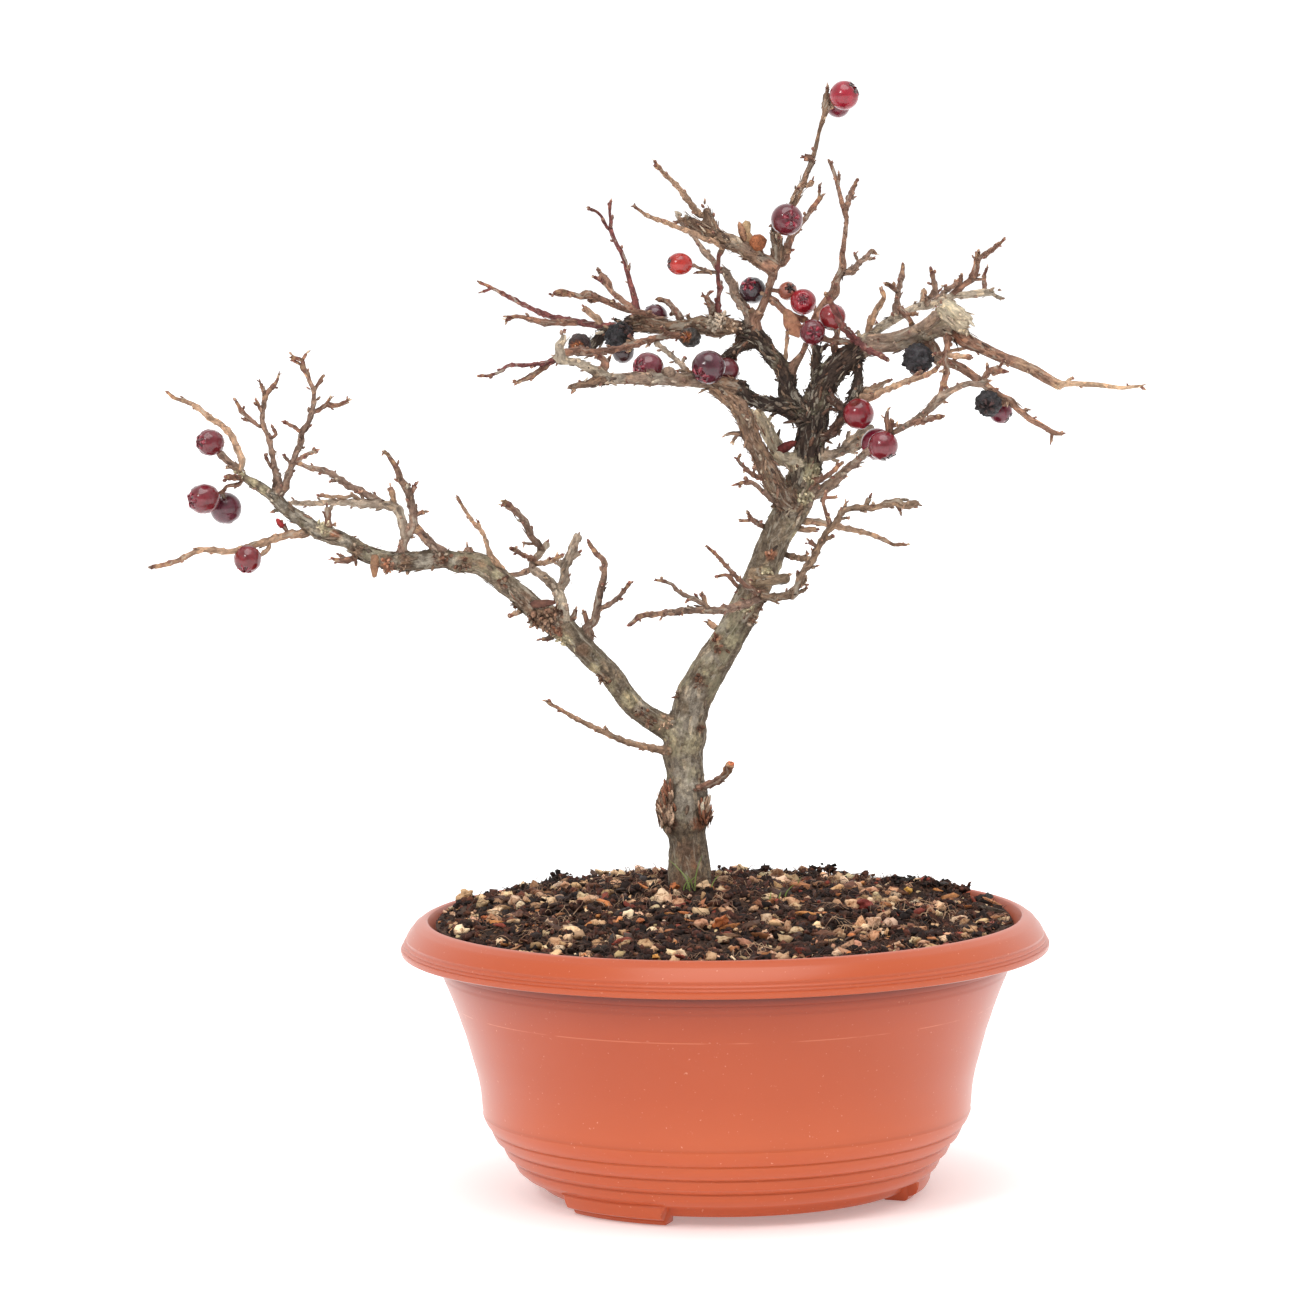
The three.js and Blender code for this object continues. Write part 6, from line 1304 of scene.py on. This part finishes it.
# The orange cup of the short twig on the right, and single lumps, scales and scraps: x z, the way they point,
# length, half width, half thickness, colour
cup = on_wood(2.2, 134.4, 0) + Vector((0, 1, 0))
for turn in range(12):
    out = Vector((math.cos(turn * math.tau / 12), math.sin(turn * math.tau / 12), -0.2))
    aim = (Vector((0.25, -0.2, 1)) + out * 0.4).normalized()
    scrap(cup + out * 0.4, aim, out, (3.2, 0.8, 0.16), -0.5, Vector((0.72, 0.22, 0.10)) * draw.uniform(0.75, 1.15))
for x, z, aim, sizes, colour in [
    (15.6, 304.4, (-0.7, -0.5, 0.4), (6.4, 2.6, 2.4), (0.28, 0.095, 0.04)),
    (9.3, 306, (-0.3, 0, 1), (7, 1, 0.4), (0.33, 0.17, 0.10)),
    (18.6, 238, (0.9, -0.3, 0.5), (8, 1.3, 0.4), (0.12, 0.022, 0.018)),
    (65, 274.2, (0.75, -0.2, 0.7), (10, 2.6, 0.4), (0.58, 0.49, 0.36)),
    (-16, 262.6, (0.1, -0.3, 1), (4, 2, 1), (0.26, 0.18, 0.13)),
    (-28.2, 271, (-0.4, -0.2, 1), (2, 0.6, 0.3), (0.56, 0.40, 0.20)),
    (-141.3, 215.4, (-0.5, -0.2, 0.8), (4, 0.9, 0.7), (0.30, 0.03, 0.03)),
]:
    ahead = Vector(aim).normalized()
    side = ahead.cross(Vector((0, -1, 0))).normalized()
    scrap(on_wood(x, z, 0), ahead, side.cross(ahead), sizes, 0.3, Vector(colour))
scraps_mesh = gathered(parts, "bark_scraps")
spur_mesh = strands("spurs", spurs, 1)
dress_in_bark(spur_mesh, False)
new_piece("spurs", spur_mesh, (), bark_finish)
scrap_finish = tinted_finish(
    "bark_scraps", 0.8, [(0.32, (0.35, 0.32, 0.3)), (0.5, (1, 1, 1)), (0.7, (1.7, 1.6, 1.5))], 1300, 5, 0.6, 0.0004,
    Specular_IOR_Level=0.3,
)
new_piece("bark_scraps", scraps_mesh, (), scrap_finish)

# Fine shreds of inner bark that hang from the old wood, most of them in the crown
SHREDS_FROM = 1.6
IN_CROWN = 225
shreds = []
for sample in samples:
    if sample.radius <= SHREDS_FROM or sample.bark not in ("dark", "flaky", "bark"):
        continue
    if draw.random() < (0.30 if sample.centre.z > IN_CROWN else 0.04):
        out = leaning(sample, draw.random() * math.tau)
        spot = sample.centre + out * sample.radius * 0.95
        aim = (sample.ahead * draw.choice((-1, 1)) + out * draw.uniform(0.1, 0.7)).normalized()
        points = []
        for step in range(5):
            points.append((at(*spot), 0.14 * (1 - 0.18 * step)))
            aim = (aim + Vector((draw.gauss(0, 0.3), draw.gauss(0, 0.3), draw.gauss(-0.1, 0.3)))).normalized()
            spot = spot + aim * draw.uniform(0.4, 1.0)
        shreds.append(points)
new_piece("bark_shreds", strands("bark_shreds", shreds, 1), (), root_finish)


# Berries: small pomes on short stalks, fresh red to dried black. Each is a waxy fruit with a dimple where its
# stalk goes in and a hollow ringed by five dried sepals at the other end. The wrinkled ones have dried out.
DUSK, MAROON = (0.15, 0.008, 0.022), (0.062, 0.006, 0.014)
# Each row: x z depth, half across, half long, the way the sepals look, skin colour, wrinkles, bloom, and red
# where the sepals are still red, or open where the dried skin has split round a rusty hollow
BERRIES = [
    (41.7, 352.6, 13, 4.5, 4.7, (0.85, -0.25, 0.6), (0.27, 0.006, 0.020), 0, 0),
    (39.6, 349.4, 21.5, 3.8, 4, (0.5, 0.7, -0.3), DUSK, 0.04, 0.2),
    (22.8, 313, 4, 4.9, 5, (0.3, -0.94, 0.05), (0.11, 0.008, 0.015), 0.03, 0.3, "red"),
    (-11.9, 299.2, -6, 3.4, 4.1, (-0.95, -0.2, 0.1), (0.37, 0.018, 0.011), 0.02, 0),
    (11.6, 290.4, 13.6, 4.1, 4.8, (-0.35, -0.75, 0.5), (0.026, 0.007, 0.012), 0.3, 0.3, "red"),
    (27.8, 286.5, 4, 4, 4.2, (-0.05, -0.95, 0.25), (0.28, 0.008, 0.016), 0.03, 0.1, "red"),
    (22.8, 290, 8, 2.9, 4.1, (0.2, -0.9, 0.3), (0.33, 0.11, 0.075), 0.5, 0),
    (30.7, 276.6, -6, 4, 4.2, (0.1, -0.97, 0.02), (0.12, 0.008, 0.014), 0.3, 0.25, "red"),
    (37.2, 281.5, -2, 4.1, 4.3, (0.2, 0.3, 0.9), (0.24, 0.016, 0.018), 0.05, 0.2),
    (-20, 282.3, 22.5, 3.9, 4.1, (-0.2, 0.3, 0.9), MAROON, 0.1, 0.3),
    (-22.5, 265.8, -12, 4.8, 5, (-0.7, -0.65, 0.15), (0.13, 0.012, 0.020), 0.15, 0.45, "red"),
    (-3, 265.7, -14, 5.2, 5.4, (-0.55, -0.65, -0.5), MAROON, 0.12, 0.35, "red"),
    (2.8, 264.5, -1, 4.1, 4.2, (0.6, 0.5, -0.5), (0.11, 0.012, 0.018), 0.08, 0.2),
    (-31.5, 276, 7, 4.7, 5.2, (0.5, -0.5, 0.6), (0.016, 0.015, 0.017), 2.2, 0.15),
    (-44.5, 273.5, 4, 3.7, 3.9, (-0.3, -0.85, -0.35), (0.035, 0.014, 0.012), 0.8, 0.05, "open"),
    (-8.9, 275.4, 5, 3.2, 4.6, (-0.45, -0.8, 0.1), (0.05, 0.038, 0.030), 1.3, 0.1, "open"),
    (64.7, 267.4, -11, 5.1, 5.3, (0.1, -0.5, -0.85), (0.018, 0.017, 0.019), 2, 0.2),
    (87.2, 252.9, -22, 4.3, 4.5, (-0.1, -0.95, -0.2), (0.018, 0.017, 0.018), 1.8, 0.2),
    (91.3, 250.2, -15, 3.6, 3.8, (0.75, -0.2, -0.6), (0.13, 0.010, 0.026), 0.1, 0.35),
    (45.4, 250, -13, 4.7, 4.9, (0.3, 0.5, -0.8), (0.19, 0.006, 0.013), 0.04, 0.12),
    (53.2, 239.6, -24.5, 4.6, 4.7, (0.35, -0.2, -0.9), (0.17, 0.009, 0.017), 0.12, 0.4),
    (51.2, 240.2, -11.3, 4.9, 5, (-0.4, 0.6, -0.7), DUSK, 0.05, 0.4),
    (-164.4, 243.4, -12, 4.2, 4.7, (-0.75, -0.6, 0.1), (0.13, 0.006, 0.012), 0.6, 0.1, "red"),
    (-166.8, 225.2, -14, 4.7, 5.3, (-0.85, -0.5, -0.1), (0.14, 0.008, 0.014), 0.45, 0.2, "red"),
    (-159.7, 222, -5.5, 4.9, 5.1, (0.3, 0.4, -0.85), (0.09, 0.012, 0.022), 0.12, 0.6),
    (-153, 205.4, -24, 4.2, 4.5, (-0.2, -0.5, -0.8), (0.15, 0.008, 0.011), 0.3, 0.1, "red"),
    (-30.5, 271, 13.8, 3.5, 3.7, (-0.2, 0.4, -0.9), (0.035, 0.008, 0.010), 0.3, 0.1),
]


def skin(name, roughness, coat, worn):
    """Skin in each berry's own tint, mottled and dusted with bloom; a worn one is blotchy and creased."""
    material, tree, shader = nodes_of(
        name, roughness, Specular_IOR_Level=0.5, Coat_Weight=coat, Coat_Roughness=0.07, Subsurface_Weight=0.08,
        Subsurface_Radius=(0.002, 0.0004, 0.0003),
    )
    mottle = cloud(tree, 420, 4, Roughness=0.65)
    light = ramp(tree, [(0.3, (0.72 - worn,) * 3), (0.6, (1.12,) * 3), (0.8, (1.3 + 2 * worn,) * 3)], mottle)
    base = times(tree, layer_of(tree, "tint"), light)
    haze = ramp(tree, [(0.42, (0, 0, 0)), (0.75, (0.32, 0.32, 0.32))], mottle)
    amount = product(tree, haze, layer_of(tree, "bloom", "Fac"))
    join(tree, laid_over(tree, amount, base, (0.30, 0.13, 0.19, 1)), shader, "Base Color")
    fine = bump(tree, shader, cloud(tree, 1500, 2), 0.12, 0.0002)
    bump(tree, shader, cloud(tree, 620, 3, Distortion=1.2), 0.02 + 1.6 * worn, 0.0012, fine)
    return material


waxy = skin("waxy_skin", 0.22, 0.5, 0)
shrunken = skin("shrunken_skin", 0.5, 0.0, 0.45)
DRIED_OUT = 0.7
# Each berry is made this much wider and longer than its row says
WIDER, LONGER = 1.06, 1.04


def berry(name, stands_for, row, seed):
    """One berry, shaped upright with its sepals on top, then turned and set in its place."""
    x, z, depth, across, half, looks, colour, wrinkles, bloom = row[:9]
    state = row[9] if len(row) > 9 else ""
    across, half = across * WIDER, half * LONGER
    shape = bmesh.new()
    layer = shape.verts.layers.float_color.new("tint")
    bmesh.ops.create_uvsphere(shape, u_segments=36, v_segments=24, radius=1)
    for vert in shape.verts:
        co = vert.co.copy()
        around = math.atan2(co.y, co.x)
        high = co.z
        size = 1 - 0.05 * max(0, high) ** 2 - 0.04 * math.cos(around * 5 + seed) * max(0, high) ** 3
        if wrinkles:
            ridge = abs(noise.noise(co * 2.3 + Vector((seed, 0, 0)))) * 2.2 - 0.4
            folds = abs(math.sin(around * 4 + 2 * noise.noise(co * 1.5 + Vector((0, seed, 0)))))
            size -= wrinkles * (0.10 * ridge + 0.06 * (1 - folds) * math.sqrt(max(0, 1 - high * high)))
            crease = (1 - abs(noise.noise(co * 4.2 + Vector((seed, 0, 0))))) ** 3
            size -= wrinkles * 0.06 * crease
        top = max(0, (high - 0.86) / 0.14)
        bottom = max(0, (-high - 0.93) / 0.07)
        place_along = high * size - 0.30 * top ** 1.3 * (high > 0) + 0.14 * bottom
        vert.co = Vector((co.x * size * across, co.y * size * across, place_along * half))
        dark = within((high - 0.90) / 0.05)
        if state == "open" and high > 0.55:
            ragged = within((high - 0.62 + 0.12 * noise.noise(co * 3)) / 0.12)
            vert.co *= 1 - 0.42 * ragged
        foot = within((-high - 0.9) / 0.08)
        hollow = Vector((0.13, 0.012, 0.020)) if state == "red" else Vector((0.02, 0.012, 0.01))
        tint = Vector(colour).lerp(hollow, dark)
        if state == "open" and high > 0.55:
            rusty = Vector((0.55, 0.17, 0.05)) * (0.8 + 1.2 * noise.noise(co * 4))
            tint = Vector(colour).lerp(rusty, ragged)
        tint = tint.lerp(Vector((0.10, 0.04, 0.02)), 0.5 * foot)
        tint *= 1 + 0.35 * noise.noise(co * 1.7 + Vector((0, 0, seed)))
        # A dried-out skin gets painted shade in its creases and a painted highlight on the ridges between them
        if wrinkles > DRIED_OUT:
            tint *= 1.9 - 1.7 * crease
        vert[layer] = (*tint, 1)
    # Five dried sepals ring the hollow and fold in over it
    for sepal in range(0 if state == "open" else 5):
        turn = sepal * math.tau / 5 + seed
        made = bmesh.ops.create_cone(
            shape, cap_ends=True, cap_tris=False, segments=4, radius1=0.2 * across, radius2=0.02 * across,
            depth=0.44 * across,
        )["verts"]
        inward = math.radians(62 + 25 * noise.noise(Vector((sepal, seed, 0))))
        move = (
            Matrix.Rotation(turn, 4, "Z") @ Matrix.Translation((0.36 * across, 0, 0.86 * half))
            @ Matrix.Rotation(-inward, 4, "Y") @ Matrix.Scale(0.35, 4, (1, 0, 0))
        )
        bmesh.ops.transform(shape, matrix=move, verts=made)
        warm = 0.7 + 0.6 * noise.noise(Vector((seed, sepal, 3)))
        husk = (0.36, 0.022, 0.045) if state == "red" else (0.07, 0.026, 0.02)
        for vert in made:
            vert[layer] = (*[channel * warm for channel in husk], 1)
    turn = Vector(looks).normalized().to_track_quat("Z", "Y").to_matrix().to_4x4()
    stand = Matrix.Translation(at(*place(x, z, depth))) @ turn @ Matrix.Scale(MM, 4)
    bmesh.ops.transform(shape, matrix=stand, verts=shape.verts)
    mesh = mesh_from(shape, name)
    powder = mesh.attributes.new("bloom", "FLOAT", "POINT")
    powder.data.foreach_set("value", [bloom] * len(mesh.vertices))
    new_piece(name, mesh, [stands_for], shrunken if wrinkles > DRIED_OUT else waxy)


for index, row in enumerate(BERRIES):
    berry(f"fruit_{index + 1:02d}", f"berry_{index + 1:02d}", row, index * 1.37)


# Dry leaves: the last withered leaves and petals, thin, curled and papery, caught on the twigs.
# Each is a flat outline filled, cut into rings round its middle, bent and given its thickness.
# Each leaf: name, depth, colour, how far it curls, and its outline as x z
LEAVES = [
    ("dry_leaf_01", 1, (0.36, 0.16, 0.09), 1.2,
     "21.2 283.8, 22.8 284.7, 25 282.5, 27.2 279.3, 27.7 276.7, 26.4 275, 22.9 276.3, 21.3 279.4"),
    ("dry_leaf_02", -19.5, (0.14, 0.055, 0.035), 0.8,
     "-62 189.8, -60.5 191, -56 191.2, -53 190.6, -53.4 189.7, -57 188.8, -60.8 188.6"),
    ("dry_leaf_03", 6, (0.50, 0.33, 0.18), 1.0,
     "11.8 305, 12.2 307.4, 11 309, 11.3 312.4, 9.4 313, 7.6 311, 8.2 308, 9.6 306"),
    ("dry_leaf_04", -20.2, (0.26, 0.13, 0.07), 0.9,
     "-110.6 206.6, -110.4 203, -111.3 199.2, -112.6 199.2, -113.4 202.6, -112.9 206.4"),
]
papery = tinted_finish(
    "papery_leaf", 0.75, [(0.3, (0.5, 0.48, 0.45)), (0.55, (1, 1, 1)), (0.75, (1.5, 1.45, 1.4))], 700, 4, 0.5, 0.0005,
)


def edge_towards(rim, middle, ahead):
    """How far it is from the middle of an upright outline to its edge, in one direction."""
    best = 0
    for a, b in zip(rim, rim[1:] + rim[:1]):
        p, q = a - middle, b - middle
        cross = p.x * q.z - p.z * q.x
        if abs(cross) < 1e-9:
            continue
        s, t = (ahead.x * q.z - ahead.z * q.x) / cross, (p.x * ahead.z - p.z * ahead.x) / cross
        if s >= -1e-6 and t >= -1e-6 and s + t > 0:
            best = max(best, 1 / (s + t))
    return best


LEAF_THICK = 0.25
for name, depth, colour, curl, outline in LEAVES:
    rim = [place(row[0], row[1], depth) for row in read_line(outline)]
    middle = sum(rim, Vector()) / len(rim)
    reach = max((spot - middle).length for spot in rim)
    shape = bmesh.new()
    bmesh.ops.create_circle(shape, cap_ends=True, segments=32, radius=1)
    bmesh.ops.inset_region(shape, faces=shape.faces[:], thickness=0.35)
    inner = [face for face in shape.faces if len(face.verts) > 4]
    bmesh.ops.inset_region(shape, faces=inner, thickness=0.3)
    bmesh.ops.poke(shape, faces=[face for face in shape.faces if len(face.verts) > 4])
    for vert in shape.verts:
        turn, out = math.atan2(vert.co.y, vert.co.x), vert.co.length
        ahead = Vector((math.cos(turn), 0, math.sin(turn)))
        spot = middle + ahead * edge_towards(rim, middle, ahead) * out
        off = (spot - middle) / reach
        bend = curl * (0.9 * off.x ** 2 - 0.5 * off.z ** 2) + 0.35 * noise.noise(off * 2.4)
        vert.co = at(spot.x, spot.y + bend, spot.z)
    bmesh.ops.solidify(shape, geom=shape.faces[:], thickness=LEAF_THICK * MM)
    leaf_mesh = mesh_from(shape, name + "_blade")
    tinted(leaf_mesh, [shade(random.Random(vert.index), colour, 0.12) for vert in leaf_mesh.vertices])
    new_piece(name + "_blade", leaf_mesh, [name], papery)


# Surroundings: a plain white floor, a white sky brightest behind, a broad soft key light from above in front.
# The camera stands two metres off in front, a little above the tree's middle, with a long lens.
shape = bmesh.new()
bmesh.ops.create_grid(shape, x_segments=1, y_segments=1, size=6)
bmesh.ops.translate(shape, verts=shape.verts, vec=(0, 0, -0.0002))
floor = bpy.data.objects.new("floor", mesh_from(shape, "floor"))
bpy.context.scene.collection.objects.link(floor)
white = nodes_of("white_floor", 0.9, (0.96, 0.96, 0.96), Emission_Color=(1, 1, 1, 1), Emission_Strength=0.25)[0]
floor.data.materials.append(white)

world = bpy.data.worlds.new("studio")
world.use_nodes = True
sky = world.node_tree
heading = (node(sky, "TexCoord", {}), "Generated")
towards = node(sky, "VectorMath", {0: heading, 1: (0.13, 1, 0.12)}, operation="DOT_PRODUCT")
bright = node(sky, "MapRange", {
    "Value": (towards, "Value"), "From Min": -1, "From Max": 1, "To Min": 0.52, "To Max": 1.2,
})
# Plain white wherever the sky itself is seen
plain = (node(sky, "LightPath", {}), "Is Camera Ray")
strength = node(sky, "Math", {0: bright, 1: plain}, operation="MAXIMUM")
join(sky, strength, sky.nodes["Background"], "Strength")
sky.nodes["Background"].inputs["Color"].default_value = (1, 1, 1, 1)
bpy.context.scene.world = world


def soft_lamp(name, place, towards, size, power):
    lamp = bpy.data.lights.new(name, "AREA")
    lamp.shape = "SQUARE"
    lamp.size = size
    lamp.energy = power
    holder = bpy.data.objects.new(name, lamp)
    holder.location = place
    holder.rotation_euler = (Vector(towards) - Vector(place)).to_track_quat("-Z", "Y").to_euler()
    bpy.context.scene.collection.objects.link(holder)


soft_lamp("sparkle", (-0.7, -1.1, 1.0), (0, 0, 0.2), 0.3, 5)
key = bpy.data.lights.new("key", "SUN")
key.energy = 1.6
key.angle = math.radians(50)
holder = bpy.data.objects.new("key", key)
holder.rotation_euler = Vector((-0.02, 0.36, -1)).to_track_quat("-Z", "Y").to_euler()
bpy.context.scene.collection.objects.link(holder)

SENSOR_WIDTH = 36
LENS_TO_SENSOR = 5630 / 1300
LOOKS_DOWN = 0.0991
ROLL = -0.0125
camera = bpy.data.cameras.new("camera")
camera.lens = LENS_TO_SENSOR * SENSOR_WIDTH
camera.sensor_width = SENSOR_WIDTH
camera.clip_end = 50
eye = bpy.data.objects.new("camera", camera)
tilt = Matrix.Rotation(math.radians(90) - LOOKS_DOWN, 4, "X")
eye.matrix_world = Matrix.Translation(at(*EYE)) @ tilt @ Matrix.Rotation(ROLL, 4, "Z")
bpy.context.scene.collection.objects.link(eye)
bpy.context.scene.camera = eye
bpy.context.scene.view_settings.view_transform = "Standard"
